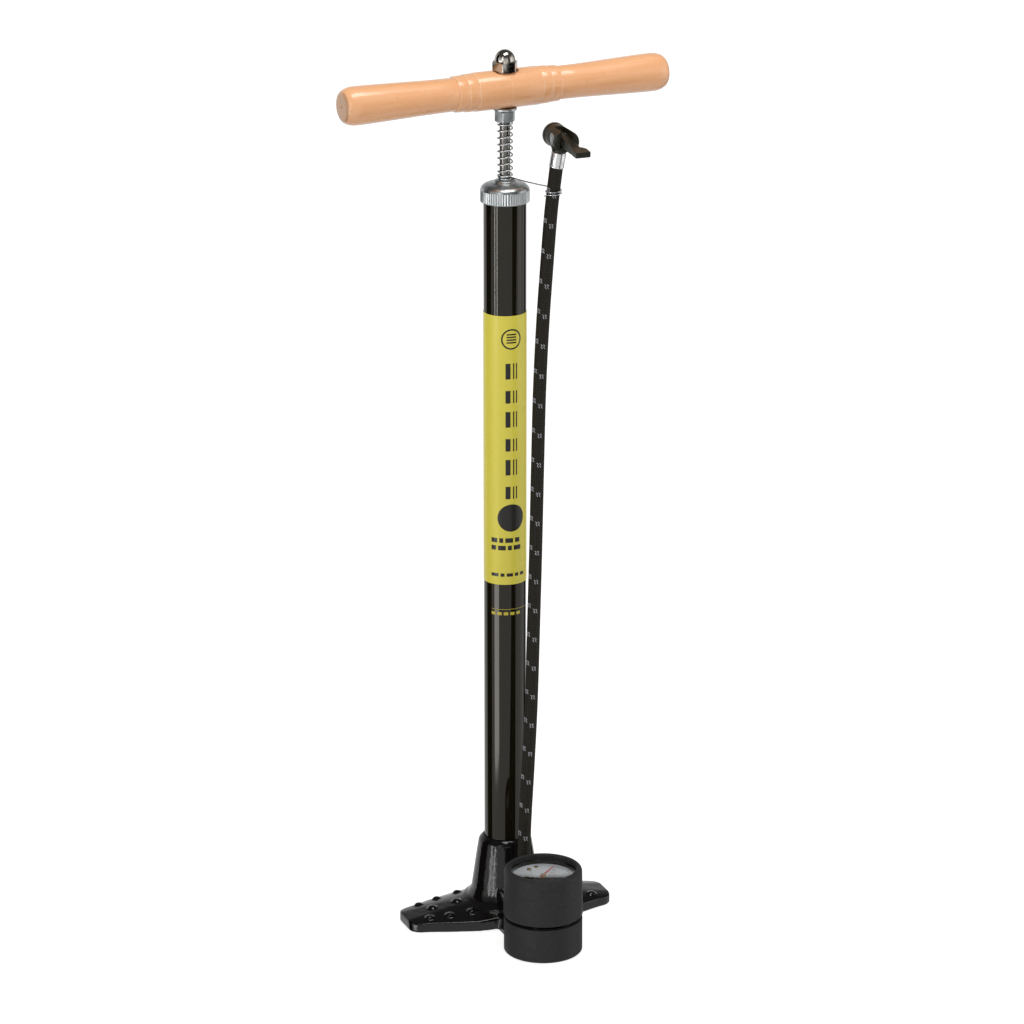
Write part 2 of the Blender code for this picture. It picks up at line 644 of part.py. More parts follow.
def chuck_group():
    chuck_body()
    chuck_lever()
    inner = RIVET_SEAT + GAP
    pin = [(0, 0.0087), (RIVET_R, 0.0079), (RIVET_R, inner), (PIN_R, inner), (PIN_R, -inner),
           (RIVET_R, -inner), (RIVET_R, -0.0079), (0, -0.0087)]
    turned("chuck_pin", pin, ZINC, SMALL, PIN_AT, along((1, 0, 0)))
    mouth = (CHUCK_AT.x, CHUCK_AT.y + CHUCK_BACK, CHUCK_AT.z)
    back = along((0, 1, 0))
    inside = CHUCK_BORE_R - GAP
    tube("chuck_plunger", 0.0012, inside, -0.0130, -0.0110, BRASS, FINE_BORE, mouth, back)
    tube("chuck_seal", 0.0040, inside, -0.0095, -0.0033, RUBBER, FINE_BORE, mouth, back)
    tube("chuck_collar", 0.0046, inside, -0.0030, 0.0006, BLACK_PLASTIC, FINE_BORE, mouth, back)


# ---------------------------------------------------------------- gauge
def gauge_foot():
    floor = GAUGE_FOOT_FLOOR
    profile = [(0, floor), (LUG_R + GAP, floor), (LUG_R + GAP, GAUGE_FOOT_TOP),
               (GAUGE_FOOT_R, GAUGE_FOOT_TOP), (GAUGE_FOOT_R, 0.0012),
               (GAUGE_FOOT_R - 0.0012, 0), (0, 0)]
    foot = turned("gauge_foot", profile, GREY_PLASTIC, ROUND, (0, GAUGE_Y, 0))
    half = BRIDGE_HALF_FOOT + GAP
    combine(foot, box("foot_notch", (-half, GAUGE_Y + 0.018, floor + 0.0002),
                      (half, GAUGE_Y + 0.035, GAUGE_FOOT_TOP + 0.0032)))


def gauge_housing():
    floor, top, bottom = HOUSING_FLOOR, HOUSING_TOP, HOUSING_BOTTOM
    lip = CASE_TOP + GAP
    mouth, rim, foot = HOUSING_MOUTH_R, HOUSING_RIM_R, HOUSING_FOOT_R
    profile = [(STEM_R + GAP, floor), (CASE_R + GAP, floor), (CASE_R + GAP, lip), (mouth, lip),
               (mouth, top - 0.0008), (mouth + 0.0008, top), (rim - 0.0026, top),
               (rim - 0.0008, top - 0.0009), (rim, top - 0.0027), (foot, bottom + 0.0020),
               (foot - 0.0014, bottom), (STEM_R + GAP, bottom)]
    turned("gauge_housing", profile, GREY_PLASTIC, ROUND, (0, GAUGE_Y, 0), ring=True)


def gauge_case():
    floor = CASE_BOTTOM + 0.0010
    profile = [(STEM_R + GAP, floor), (CASE_BORE_R, floor), (CASE_BORE_R, CASE_TOP),
               (CASE_R, CASE_TOP), (CASE_R, CASE_BOTTOM), (STEM_R + GAP, CASE_BOTTOM)]
    turned("gauge_case", profile, STEEL, MEDIUM, (0, GAUGE_Y, 0), ring=True)


def gauge_stem():
    profile = [(0.0012, STEM_TOP), (STEM_R, STEM_TOP), (STEM_R, 0.0287), (0.0100, 0.0287),
               (0.0100, 0.0273), (STEM_R, 0.0273), (STEM_R, STEM_BOTTOM), (0.0012, STEM_BOTTOM)]
    turned("gauge_stem", profile, BRASS, SMALL, (0, GAUGE_Y, 0), ring=True)


def bourdon_tube():
    level = 0.0460
    lead = [(0.0053, 0.0), (0.0090, 0.0), (0.0130, 0.0006)]
    coil = arc((0, 0), 0.0175, 18, 288, 11)
    wire("bourdon_tube", [(x, y, level) for x, y in lead + coil], 0.0015, BRASS,
         (0, GAUGE_Y, 0))


def gauge_needle():
    """A pointer with a short tail and a domed hub, turned to the rest mark."""
    blade = [(NEEDLE_REACH, 0.00015), (0.0, 0.0007), (-NEEDLE_TAIL, 0.0010)]
    outline = [(x, y) for x, y in blade] + [(x, -y) for x, y in reversed(blade)]
    outline.reverse()
    needle = prism("gauge_needle", outline, NEEDLE_BOTTOM, NEEDLE_TOP, RED_PAINT, (0, GAUGE_Y))
    needle.rotation_euler = (0, 0, NEEDLE_ANGLE)
    hub = [(0, 0.0607), (0.0016, 0.0605), (0.0024, 0.0600), (0.0024, 0.0595), (0, 0.0595)]
    combine(needle, turned("needle_hub", hub, None, SMALL, (0, GAUGE_Y, 0)), "UNION")


def dial_rivet(name, x, y):
    top = DIAL_TOP + RIVET_HEIGHT
    head = [(0, top), (0.0009, top - 0.0001), (0.0015, top - 0.0005), (0.0015, DIAL_TOP + GAP),
            (0, DIAL_TOP + GAP)]
    turned(name, head, BRASS, TINY, (x, GAUGE_Y + y, 0))


def gauge_group():
    at = (0, GAUGE_Y, 0)
    gauge_foot()
    gauge_housing()
    gauge_case()
    gauge_stem()
    bourdon_tube()
    plate = box("gauge_movement", (-0.008, GAUGE_Y - 0.006, STEM_TOP + GAP),
                (0.008, GAUGE_Y + 0.006, 0.0525), BRASS)
    combine(plate, rod("arbor_hole", 0.0011, 0.045, 0.055, None, SMALL, at))
    rod("gauge_arbor", 0.0008, 0.0496, 0.0592, STEEL, TINY, at)
    tube("gauge_dial", 0.0020, DIAL_R, DIAL_BOTTOM, DIAL_TOP, WHITE_PAINT, MEDIUM, at)
    for rivet in DIAL_RIVETS:
        dial_rivet(*rivet)
    gauge_needle()
    tube("gauge_spacer", HOUSING_MOUTH_R, DIAL_R, DIAL_TOP + GAP, LENS_BOTTOM - GAP,
         BLACK_PLASTIC, MEDIUM, at)
    rod("gauge_lens", DIAL_R, LENS_BOTTOM, CASE_TOP, GLASS, MEDIUM, at)


# ---------------------------------------------------------------- build
empty_the_scene()
PARTS = new_collection("floor_pump")
CUTTERS = new_collection("cutters")

BLACK_CAST = material("black_cast_enamel", (0.012, 0.011, 0.012), 0.28)
BLACK_PAINT = material("black_gloss_paint", (0.010, 0.009, 0.009), 0.12)
YELLOW_FILM = material("yellow_label_film", (0.92, 0.84, 0.13), 0.35)
BLACK_PLASTIC = material("black_plastic", (0.018, 0.017, 0.016), 0.38)
GREY_PLASTIC = material("dark_grey_plastic", (0.028, 0.028, 0.030), 0.45)
BRAID = material("black_braid", (0.014, 0.014, 0.014), 0.70)
RUBBER = material("black_rubber", (0.020, 0.020, 0.020), 0.80)
NYLON = material("white_nylon", (0.75, 0.73, 0.68), 0.45)
BEECH = material("varnished_beech", (0.86, 0.52, 0.30), 0.25)
STEEL = material("bright_steel", (0.62, 0.61, 0.59), 0.22, 1.0)
CHROME = material("chrome", (0.78, 0.76, 0.72), 0.08, 1.0)
ZINC = material("zinc_plate", (0.60, 0.62, 0.63), 0.30, 1.0)
ALUMINIUM = material("aluminium", (0.80, 0.80, 0.80), 0.25, 1.0)
BRASS = material("brass", (0.72, 0.55, 0.25), 0.30, 1.0)
WHITE_PAINT = material("white_dial_paint", (0.80, 0.82, 0.83), 0.50)
RED_PAINT = material("red_paint", (0.70, 0.05, 0.05), 0.40)
GLASS = material("clear_glass", (0.95, 0.97, 0.97), 0.05, 0.0, 0.25)

base_casting()
barrel_group()
top_cap()
rod_group()
piston_group()
valve_group()
hose_group()
chuck_group()
gauge_group()
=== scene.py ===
"""Looks of the floor bike pump: fine meshes, procedural materials, studio light and camera.

Lengths are in metres, in the part's own frame: +Z up the barrel, -Y to the gauge. Sizes and
places come from the CAD nodes' boxes wherever a box can give them.
"""

import math

import bmesh
import bpy
import numpy as np
from mathutils import Matrix, Quaternion, Vector


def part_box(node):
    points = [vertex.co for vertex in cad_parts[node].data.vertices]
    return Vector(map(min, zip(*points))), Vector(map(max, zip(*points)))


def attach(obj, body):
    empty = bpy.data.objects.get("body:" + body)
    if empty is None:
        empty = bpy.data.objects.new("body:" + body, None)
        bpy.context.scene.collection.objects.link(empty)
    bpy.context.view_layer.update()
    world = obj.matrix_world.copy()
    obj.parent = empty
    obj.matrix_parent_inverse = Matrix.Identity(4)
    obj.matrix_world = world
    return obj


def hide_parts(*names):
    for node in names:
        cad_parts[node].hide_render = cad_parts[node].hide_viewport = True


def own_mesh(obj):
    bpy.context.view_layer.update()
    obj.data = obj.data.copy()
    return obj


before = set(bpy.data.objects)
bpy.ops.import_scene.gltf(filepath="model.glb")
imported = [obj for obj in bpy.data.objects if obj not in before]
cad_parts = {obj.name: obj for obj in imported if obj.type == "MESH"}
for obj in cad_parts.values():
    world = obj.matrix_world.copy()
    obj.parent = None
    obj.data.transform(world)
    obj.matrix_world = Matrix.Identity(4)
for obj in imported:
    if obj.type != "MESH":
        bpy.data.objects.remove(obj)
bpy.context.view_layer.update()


# ---- measures read from the frame
def low(node):
    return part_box(node)[0]


def high(node):
    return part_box(node)[1]


def middle(node):
    return (low(node) + high(node)) / 2


def span(node):
    """The node's lowest and highest z."""
    return low(node).z, high(node).z


TOP = high("acorn_nut").z
BARREL_R = high("barrel_tube").x
ROD_R = high("pump_rod").x
GAUGE = Vector((0, middle("gauge_housing").y, 0))
HANDLE_AT = Vector((0, 0, middle("handle").z))
FITTING = middle("hose_fitting")
PIN = middle("chuck_pin")
HOLE_R = ROD_R + 0.00035


def linked(name, data):
    obj = bpy.data.objects.new(name, data)
    bpy.context.scene.collection.objects.link(obj)
    return obj


# ---- camera
CAMERA_ANGLE = math.radians(21.2)  # round to the left of straight in front
CAMERA_PITCH = math.radians(18.2)
CAMERA_DISTANCE = 3.8
CAMERA_LENS = 176.66
LOOK_AT = Vector((0.0049, -0.0019, 0.3257))


def around(angle, distance, height=0.0):
    """A place beside the pump, by its angle in degrees to the right of the camera's side."""
    a = math.radians(angle) - CAMERA_ANGLE
    return Vector((distance * math.sin(a), -distance * math.cos(a), height))


def add_camera():
    data = bpy.data.cameras.new("camera")
    data.lens = CAMERA_LENS
    data.sensor_width = 36
    data.clip_end = 50
    camera = linked("camera", data)
    back = around(0, math.cos(CAMERA_PITCH), math.sin(CAMERA_PITCH))
    camera.location = LOOK_AT + back * CAMERA_DISTANCE
    camera.rotation_euler = back.to_track_quat("Z", "Y").to_euler()
    bpy.context.scene.camera = camera


# ---- materials: tools
def material(name, colour, roughness, metallic=0.0, **sockets):
    """A new material. Values that are the same all over go straight on the shader's sockets."""
    made = bpy.data.materials.new(name)
    made.use_nodes = True
    shader = made.node_tree.nodes["Principled BSDF"]
    values = {"Base Color": (*colour, 1.0), "Roughness": roughness, "Metallic": metallic}
    values.update({key.replace("_", " "): value for key, value in sockets.items()})
    for socket, value in values.items():
        shader.inputs[socket].default_value = value
    return made


def node(made, kind, inputs, **settings):
    """Adds a shader node whose inputs are values or other nodes' outputs."""
    added = made.node_tree.nodes.new("ShaderNode" + kind)
    for key, value in settings.items():
        setattr(added, key, value)
    for socket, value in inputs.items():
        if isinstance(value, bpy.types.NodeSocket):
            made.node_tree.links.new(value, added.inputs[socket])
        else:
            added.inputs[socket].default_value = value
    return added


def maths(made, operation, first, second):
    return node(made, "Math", {0: first, 1: second}, operation=operation).outputs[0]


def feed(made, socket, value):
    made.node_tree.links.new(value, made.node_tree.nodes["Principled BSDF"].inputs[socket])


def noise(made, size, stretch=(1, 1, 1), detail=3.0):
    """Noise in the piece's own space, with features of about this size."""
    place = node(made, "TexCoord", {}).outputs["Object"]
    scaled = node(made, "Mapping", {"Vector": place, "Scale": stretch}).outputs[0]
    return node(made, "TexNoise", {"Vector": scaled, "Scale": 1 / size,
                                   "Detail": detail}).outputs["Fac"]


def spread(made, value, start, end, to_start=0.0, to_end=1.0):
    return node(made, "MapRange", {"Value": value, "From Min": start, "From Max": end,
                                   "To Min": to_start, "To Max": to_end}).outputs[0]


def blend_colours(made, share, first, second):
    colours = {"Fac": share}
    for socket, colour in (("Color1", first), ("Color2", second)):
        colours[socket] = (*colour, 1.0) if isinstance(colour, tuple) else colour
    return node(made, "MixRGB", colours).outputs[0]


def relief(made, height, depth, below=None):
    """A bump of this depth in metres for a height from 0 to 1, on top of another bump."""
    inputs = {"Height": height, "Distance": depth, "Strength": 1.0}
    if below is not None:
        inputs["Normal"] = below
    return node(made, "Bump", inputs).outputs[0]


def worn(made, size, rough_from, rough_to):
    """Uneven gloss."""
    feed(made, "Roughness", spread(made, noise(made, size), 0.3, 0.7, rough_from, rough_to))


def two_tone(made, size, first, second, start=0.3, end=0.7):
    """A base colour that drifts between two tones."""
    tone = spread(made, noise(made, size), start, end)
    feed(made, "Base Color", blend_colours(made, tone, first, second))


# ---- materials
def cast_enamel():
    made = material("cast_enamel", (0.0056, 0.0048, 0.0046), 0.2)
    worn(made, 0.003, 0.04, 0.12)
    lumps = relief(made, noise(made, 0.0055, detail=1.0), 0.00016)
    feed(made, "Normal", relief(made, noise(made, 0.0016, detail=2.0), 0.00009, lumps))
    return made


def barrel_paint():
    made = material("barrel_paint", (0.0088, 0.0068, 0.0032), 0.06,
                    Specular_Tint=(1.0, 0.975, 0.88, 1.0))
    worn(made, 0.02, 0.04, 0.09)
    feed(made, "Normal", relief(made, noise(made, 0.0035, detail=1.0), 0.0000015))
    return made


def label_film():
    made = material("label_film", (0.84, 0.73, 0.10), 0.3)
    two_tone(made, 0.03, (0.83, 0.73, 0.092), (0.815, 0.712, 0.088), 0.35, 0.65)
    worn(made, 0.05, 0.25, 0.29)
    return made


def ink(name, colour):
    made = material(name, colour, 0.35)
    worn(made, 0.003, 0.28, 0.42)
    return made


def beech():
    """Varnished beech with grain along the handle, fine pores and a painted highlight along the
    turned grooves.
    """
    made = material("beech", (0.90, 0.50, 0.27), 0.3, Coat_Weight=0.9, Coat_Roughness=0.13)
    grain = spread(made, noise(made, 0.0024, (1, 1, 0.05), 4.0), 0.3, 0.75)
    colour = blend_colours(made, grain, (0.98, 0.515, 0.262), (0.92, 0.450, 0.208))
    clouds = spread(made, noise(made, 0.03, (1, 1, 0.4)), 0.4, 0.75)
    colour = blend_colours(made, maths(made, "MULTIPLY", clouds, 0.22), colour,
                           (0.78, 0.395, 0.175))
    pores = spread(made, noise(made, 0.0010, (1, 1, 0.22), 0.0), 0.76, 0.83)
    colour = blend_colours(made, maths(made, "MULTIPLY", pores, 0.32), colour,
                           (0.52, 0.24, 0.10))
    # Painted highlight: the points at the turned grooves are lightened towards a pale tone.
    groove_highlight = node(made, "Attribute", {}, attribute_name="groove_highlight").outputs["Fac"]
    colour = blend_colours(made, maths(made, "MULTIPLY", groove_highlight, 0.6), colour,
                           (1.0, 0.72, 0.47))
    dark = node(made, "Attribute", {}, attribute_name="dark").outputs["Fac"]
    feed(made, "Base Color", blend_colours(made, dark, colour, (0.64, 0.35, 0.175)))
    worn(made, 0.006, 0.26, 0.36)
    feed(made, "Normal", relief(made, grain, 0.000006))
    return made


def metal(name, colour, rough_from, rough_to, grain, depth):
    """A bare metal with uneven gloss, slight tone changes and a fine tooled surface."""
    made = material(name, colour, rough_to, 1.0)
    two_tone(made, grain * 6, colour, tuple(0.93 * c for c in colour))
    worn(made, grain * 4, rough_from, rough_to)
    feed(made, "Normal", relief(made, noise(made, grain), depth))
    return made


def plastic(name, colour, rough_from, rough_to, grain, depth, shine=0.5):
    """Moulded plastic with a fine spark-eroded texture."""
    made = material(name, colour, rough_to, Specular_IOR_Level=shine)
    two_tone(made, grain * 12, colour, tuple(1.35 * c for c in colour))
    worn(made, grain * 8, rough_from, rough_to)
    feed(made, "Normal", relief(made, noise(made, grain, detail=2.0), depth))
    return made


def braid():
    """Two sets of crossing yarns, from the hose's own coordinates: turns round and metres along."""
    yarns_round, yarns_along = 12.0, 410.0
    made = material("braid", (0.011, 0.0105, 0.009), 0.62, Specular_IOR_Level=0.3)
    place = node(made, "UVMap", {}, uv_map="route").outputs[0]
    parts = node(made, "SeparateXYZ", {"Vector": place}).outputs
    turn = maths(made, "MULTIPLY", parts["X"], yarns_round * 2 * math.pi)
    rise = maths(made, "MULTIPLY", parts["Y"], yarns_along * 2 * math.pi)
    leaning = [maths(made, "SINE", maths(made, way, turn, rise), 0.0)
               for way in ("ADD", "SUBTRACT")]
    height = spread(made, maths(made, "MULTIPLY", *leaning), -1.0, 1.0)
    # Painted shade: the base colour darkens from the yarns' crowns into the gaps between them.
    feed(made, "Base Color", blend_colours(made, height, (0.0012, 0.0009, 0.0004),
                                           (0.031, 0.0245, 0.0130)))
    feed(made, "Roughness", spread(made, height, 0.0, 1.0, 0.85, 0.36))
    feed(made, "Normal", relief(made, height, 0.00030))
    return made


def yarn():
    made = material("tracer_yarn", (0.50, 0.50, 0.53), 0.6)
    two_tone(made, 0.0006, (0.60, 0.60, 0.64), (0.36, 0.36, 0.39))
    return made


def dial_paint():
    made = material("dial_paint", (0.66, 0.68, 0.70), 0.45)
    two_tone(made, 0.006, (0.70, 0.72, 0.74), (0.64, 0.66, 0.69))
    worn(made, 0.002, 0.4, 0.5)
    return made


def lens_glass():
    made = material("lens_glass", (0.97, 0.985, 0.98), 0.02, Transmission_Weight=1.0, IOR=1.5)
    worn(made, 0.01, 0.005, 0.03)
    return made


def floor_paint():
    made = material("floor", (0.50, 0.50, 0.50), 0.9, Emission_Color=(1.0, 1.0, 1.0, 1.0))
    tone = noise(made, 0.6)
    feed(made, "Base Color", blend_colours(made, tone, (0.58, 0.57, 0.56), (0.55, 0.54, 0.53)))
    seen = node(made, "LightPath", {}).outputs["Is Camera Ray"]
    feed(made, "Emission Strength", maths(made, "MULTIPLY", seen, 0.70))
    return made


CAST = cast_enamel()
BARREL_PAINT = barrel_paint()
FILM = label_film()
BLACK_INK = ink("black_ink", (0.012, 0.011, 0.009))
YELLOW_INK = ink("yellow_ink", (0.60, 0.50, 0.05))
BEECH = beech()
STEEL = metal("bright_steel", (0.19, 0.185, 0.165), 0.10, 0.18, 0.0004, 6e-7)
SPRING_STEEL = metal("spring_steel", (0.74, 0.76, 0.78), 0.14, 0.26, 0.0005, 2e-6)
CHROME = metal("chrome", (0.60, 0.56, 0.50), 0.09, 0.16, 0.002, 1e-6)
ZINC = metal("zinc_plate", (0.58, 0.61, 0.62), 0.27, 0.36, 0.0009, 2.2e-6)
ALUMINIUM = metal("aluminium", (0.86, 0.86, 0.86), 0.24, 0.32, 0.0007, 1.5e-6)
BRASS = metal("brass", (0.66, 0.48, 0.20), 0.2, 0.34, 0.0006, 3e-6)
DARK_BRASS = metal("dark_brass", (0.22, 0.15, 0.06), 0.3, 0.45, 0.0006, 3e-6)
CHUCK_PLASTIC = plastic("chuck_plastic", (0.0140, 0.0138, 0.0082), 0.30, 0.42, 0.0003, 7e-6)
GAUGE_PLASTIC = plastic("gauge_plastic", (0.0165, 0.0162, 0.0172), 0.56, 0.68, 0.0003, 9e-6,
                        0.42)
RUBBER = plastic("rubber", (0.012, 0.012, 0.012), 0.6, 0.8, 0.0006, 1.2e-5)
NYLON = plastic("nylon", (0.60, 0.58, 0.52), 0.35, 0.5, 0.0008, 6e-6)
BRAID = braid()
YARN = yarn()
DIAL = dial_paint()
DIAL_BLACK = ink("dial_black", (0.02, 0.02, 0.022))
RED = ink("red_paint", (0.58, 0.025, 0.020))
GLASS = lens_glass()


# ---- mesh tools
def piece(name, points, faces, finish):
    data = bpy.data.meshes.new(name)
    data.from_pydata([tuple(p) for p in points], [], faces)
    data.materials.append(finish)
    return shade(linked(name, data))


def shade(obj):
    obj.data.shade_smooth()
    obj.data.set_sharp_from_angle(angle=math.radians(35))
    return obj


def put(obj, at, turn=None):
    obj.location = at
    if turn is not None:
        obj.rotation_mode = "QUATERNION"
        obj.rotation_quaternion = turn
    bpy.context.view_layer.update()
    return obj


def along(axis):
    """The rotation that turns +Z to this direction."""
    return Vector((0, 0, 1)).rotation_difference(Vector(axis))


def softened(points, cut, closed, steps=3):
    """Rounds the sharp corners of an outline, starting at most this far from each corner."""
    if not cut:
        return [tuple(p) for p in points]
    out = []
    for i, point in enumerate(points):
        here = np.array(point, float)
        before = np.array(points[i - 1], float) - here
        after = np.array(points[(i + 1) % len(points)], float) - here
        spans = np.linalg.norm(before), np.linalg.norm(after)
        ends = not closed and i in (0, len(points) - 1)
        straight = -before @ after > 0.94 * spans[0] * spans[1]
        if ends or straight:
            out.append(tuple(here))
            continue
        reach = min(cut, 0.45 * spans[0], 0.45 * spans[1])
        start, end = here + before / spans[0] * reach, here + after / spans[1] * reach
        for t in np.linspace(0, 1, steps + 1):
            out.append(tuple((1 - t) ** 2 * start + 2 * t * (1 - t) * here + t * t * end))
    return out


def arc(centre, radius, start, end, count):
    """Points on an arc, angles in degrees."""
    angles = np.radians(np.linspace(start, end, count))
    return [(centre[0] + radius * math.cos(a), centre[1] + radius * math.sin(a))
            for a in angles]


def lathe(name, profile, finish, segments, closed=False, cut=0.0003, shape=None):
    """Spins (radius, height) points round +Z. The profile runs down the outside.

    shape may change a point's radius: it takes the radius, the height and the angle.
    """
    points, rings = [], []
    angles = [2 * math.pi * i / segments for i in range(segments)]
    for r, z in softened(profile, cut, closed):
        if r < 1e-6:
            rings.append([len(points)] * segments)
            points.append((0, 0, z))
            continue
        rings.append(list(range(len(points), len(points) + segments)))
        for a in angles:
            reach = shape(r, z, a) if shape else r
            points.append((reach * math.cos(a), reach * math.sin(a), z))
    if closed:
        rings.append(rings[0])
    faces = []
    for upper, lower in zip(rings, rings[1:]):
        for i in range(segments):
            j = (i + 1) % segments
            face = list(dict.fromkeys((upper[i], lower[i], lower[j], upper[j])))
            if len(face) > 2:
                faces.append(face)
    return piece(name, points, faces, finish)


def drum(name, radius, bottom, top, finish, segments=64, cut=0.0):
    profile = [(0, top), (radius, top), (radius, bottom), (0, bottom)]
    return lathe(name, profile, finish, segments, cut=cut)


def sleeve(name, inner, outer, bottom, top, finish, segments=96, cut=0.0003, shape=None):
    profile = [(inner, top), (outer, top), (outer, bottom), (inner, bottom)]
    return lathe(name, profile, finish, segments, True, cut, shape)


def extruded(name, outline, bottom, top, finish):
    """A flat outline, counter-clockwise seen from above, as a solid from bottom to top."""
    count = len(outline)
    points = [(x, y, z) for z in (bottom, top) for x, y in outline]
    faces = [list(range(count))[::-1], list(range(count, 2 * count))]
    faces += [[i, (i + 1) % count, (i + 1) % count + count, i + count] for i in range(count)]
    return piece(name, points, faces, finish)


def block(name, lowest, highest, finish):
    (x0, y0, z0), (x1, y1, z1) = lowest, highest
    return extruded(name, [(x0, y0), (x1, y0), (x1, y1), (x0, y1)], z0, z1, finish)


def sweep(name, path, radius, finish, sides, thin_ends=0):
    """A round tube along a path, with UVs named route: turns round it and metres along it."""
    path = np.array([tuple(p) for p in path], float)
    heading = np.gradient(path, axis=0)
    heading /= np.linalg.norm(heading, axis=1)[:, None]
    steps = np.linalg.norm(np.diff(path, axis=0), axis=1)
    travel = np.concatenate([[0], np.cumsum(steps)])
    side = np.cross(heading[0], (0.3, 0.2, 0.9) if abs(heading[0][2]) < 0.8 else (0, 1, 0))
    points = []
    for i, (centre, ahead) in enumerate(zip(path, heading)):
        side = side - ahead * (side @ ahead)
        side /= np.linalg.norm(side)
        other = np.cross(ahead, side)
        from_end = min(i, len(path) - 1 - i)
        r = radius * (0.55 if from_end < thin_ends else 1.0)
        for k in range(sides):
            a = 2 * math.pi * k / sides
            points.append(centre + r * (math.cos(a) * side + math.sin(a) * other))
    faces, uvs = [], []
    for i in range(len(path) - 1):
        for k in range(sides):
            j = (k + 1) % sides
            faces.append([i * sides + k, i * sides + j, (i + 1) * sides + j, (i + 1) * sides + k])
            u0, u1 = k / sides, (k + 1) / sides
            uvs += [(u0, travel[i]), (u1, travel[i]), (u1, travel[i + 1]), (u0, travel[i + 1])]
    last = (len(path) - 1) * sides
    faces += [list(range(sides))[::-1], list(range(last, last + sides))]
    uvs += [(0.0, 0.0)] * (2 * sides)
    obj = piece(name, points, faces, finish)
    layer = obj.data.uv_layers.new(name="route")
    layer.data.foreach_set("uv", np.array(uvs, np.float32).ravel())
    return obj


def applied(obj):
    """Works an object's modifiers into its mesh."""
    bpy.context.view_layer.update()
    graph = bpy.context.evaluated_depsgraph_get()
    data = bpy.data.meshes.new_from_object(obj.evaluated_get(graph))
    old = obj.data
    obj.modifiers.clear()
    obj.data = data
    bpy.data.meshes.remove(old)
    return obj


def combine(obj, other, operation="DIFFERENCE", solver="EXACT"):
    modifier = obj.modifiers.new("combine", "BOOLEAN")
    modifier.operation = operation
    modifier.object = other
    modifier.solver = solver
    applied(obj)
    bpy.data.objects.remove(other, do_unlink=True)
    return shade(obj)


def carve(obj, cutters):
    """Cuts closed solids out of a welded skin."""
    for cutter in cutters:
        combine(obj, cutter, "DIFFERENCE", "MANIFOLD")


def joined(name, objs):
    """One object that holds the meshes of several, in the row frame."""
    mesh = bmesh.new()
    bpy.context.view_layer.update()
    for obj in objs:
        obj.data.transform(obj.matrix_world)
        mesh.from_mesh(obj.data)
    data = bpy.data.meshes.new(name)
    mesh.to_mesh(data)
    mesh.free()
    data.materials.append(objs[0].data.materials[0])
    for obj in objs:
        bpy.data.objects.remove(obj, do_unlink=True)
    return shade(linked(name, data))


def fused(name, objs, voxel, rounds):
    """Welds overlapping solids into one skin and softens its corners."""
    made = joined(name, objs)
    finish = made.data.materials[0]
    remesh = made.modifiers.new("remesh", "REMESH")
    remesh.mode = "VOXEL"
    remesh.voxel_size = voxel
    smoothing = made.modifiers.new("smoothing", "SMOOTH")
    smoothing.factor = 0.5
    smoothing.iterations = rounds
    applied(made)
    made.data.materials.clear()
    made.data.materials.append(finish)
    made.data.shade_smooth()
    return made


def hex_nut(name, across, bottom, top, finish, hole=None):
    """A hexagon whose corners are turned off towards its faces, with a bore where one is given."""
    corner = across / math.sqrt(3)
    hexagon = arc((0, 0), corner, 0, 300, 6)
    body = extruded(name, softened(hexagon, 0.0004, True), bottom, top, finish)
    inner, outer = across * 0.485, corner + 0.0002
    slope = (outer - inner) * 0.55
    turned = [(0, top), (inner, top), (outer, top - slope), (outer, bottom + slope),
              (inner, bottom), (0, bottom)]
    combine(body, lathe("chamfer", turned, finish, 96, cut=0), "INTERSECT")
    if hole:
        combine(body, drum("hole", hole, bottom - 0.001, top + 0.001, finish))
    return body


def finished(obj, body, slot, *nodes):
    """Hangs a piece on its body, in place of the CAD nodes that it stands for."""
    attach(obj, body)
    if nodes:
        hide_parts(*nodes)
    return obj


# ---- hose
HOSE_ROUTE = ((0.0015, -0.0358, 0.0500), (0.0022, -0.0360, 0.0850), (0.0045, -0.0365, 0.1300),
              (0.0070, -0.0370, 0.1850), (0.0088, -0.0372, 0.2500), (0.0103, -0.0374, 0.3100),
              (0.0117, -0.0374, 0.3750), (0.0130, -0.0376, 0.4300), (0.0152, -0.0380, 0.4800),
              (0.0180, -0.0388, 0.5250), (0.0211, -0.0396, 0.5680), (0.0246, -0.0408, 0.6011))
HOSE_END_AXIS = Vector((0.150, -0.060, 0.987)).normalized()  # through ferrule and chuck neck
HOSE_R = 0.0050
FLECK_PITCH = 0.0230
FLECK_COLUMNS = ((-50, 0.0), (10, -0.0040), (130, 0.0), (190, -0.0040))  # degrees, offset
FLECK_RUNGS = (-0.0009, 0.0009)  # round the hose, from the middle of a fleck
YARN_R = 0.00027


def smooth_route(points, spacing):
    """Catmull-Rom points through a route, about this far apart."""
    knots = [Vector(p) for p in points]
    knots = [2 * knots[0] - knots[1]] + knots + [2 * knots[-1] - knots[-2]]
    out = []
    for a, b, c, d in zip(knots, knots[1:], knots[2:], knots[3:]):
        count = max(1, round((c - b).length / spacing))
        for i in range(count):
            t = i / count
            out.append(0.5 * (2 * b + (c - a) * t + (2 * a - 5 * b + 4 * c - d) * t * t
                              + (3 * b - a - 3 * c + d) * t ** 3))
    return out + [knots[-2]]


def on_hose(path, height, angle):
    """A point on the hose's surface at a height, by its angle to the right of the camera."""
    for lower, upper in zip(path, path[1:]):
        if lower.z <= height <= upper.z:
            centre = lower.lerp(upper, (height - lower.z) / (upper.z - lower.z))
            return centre + around(angle, HOSE_R + YARN_R * 0.2)
    return None


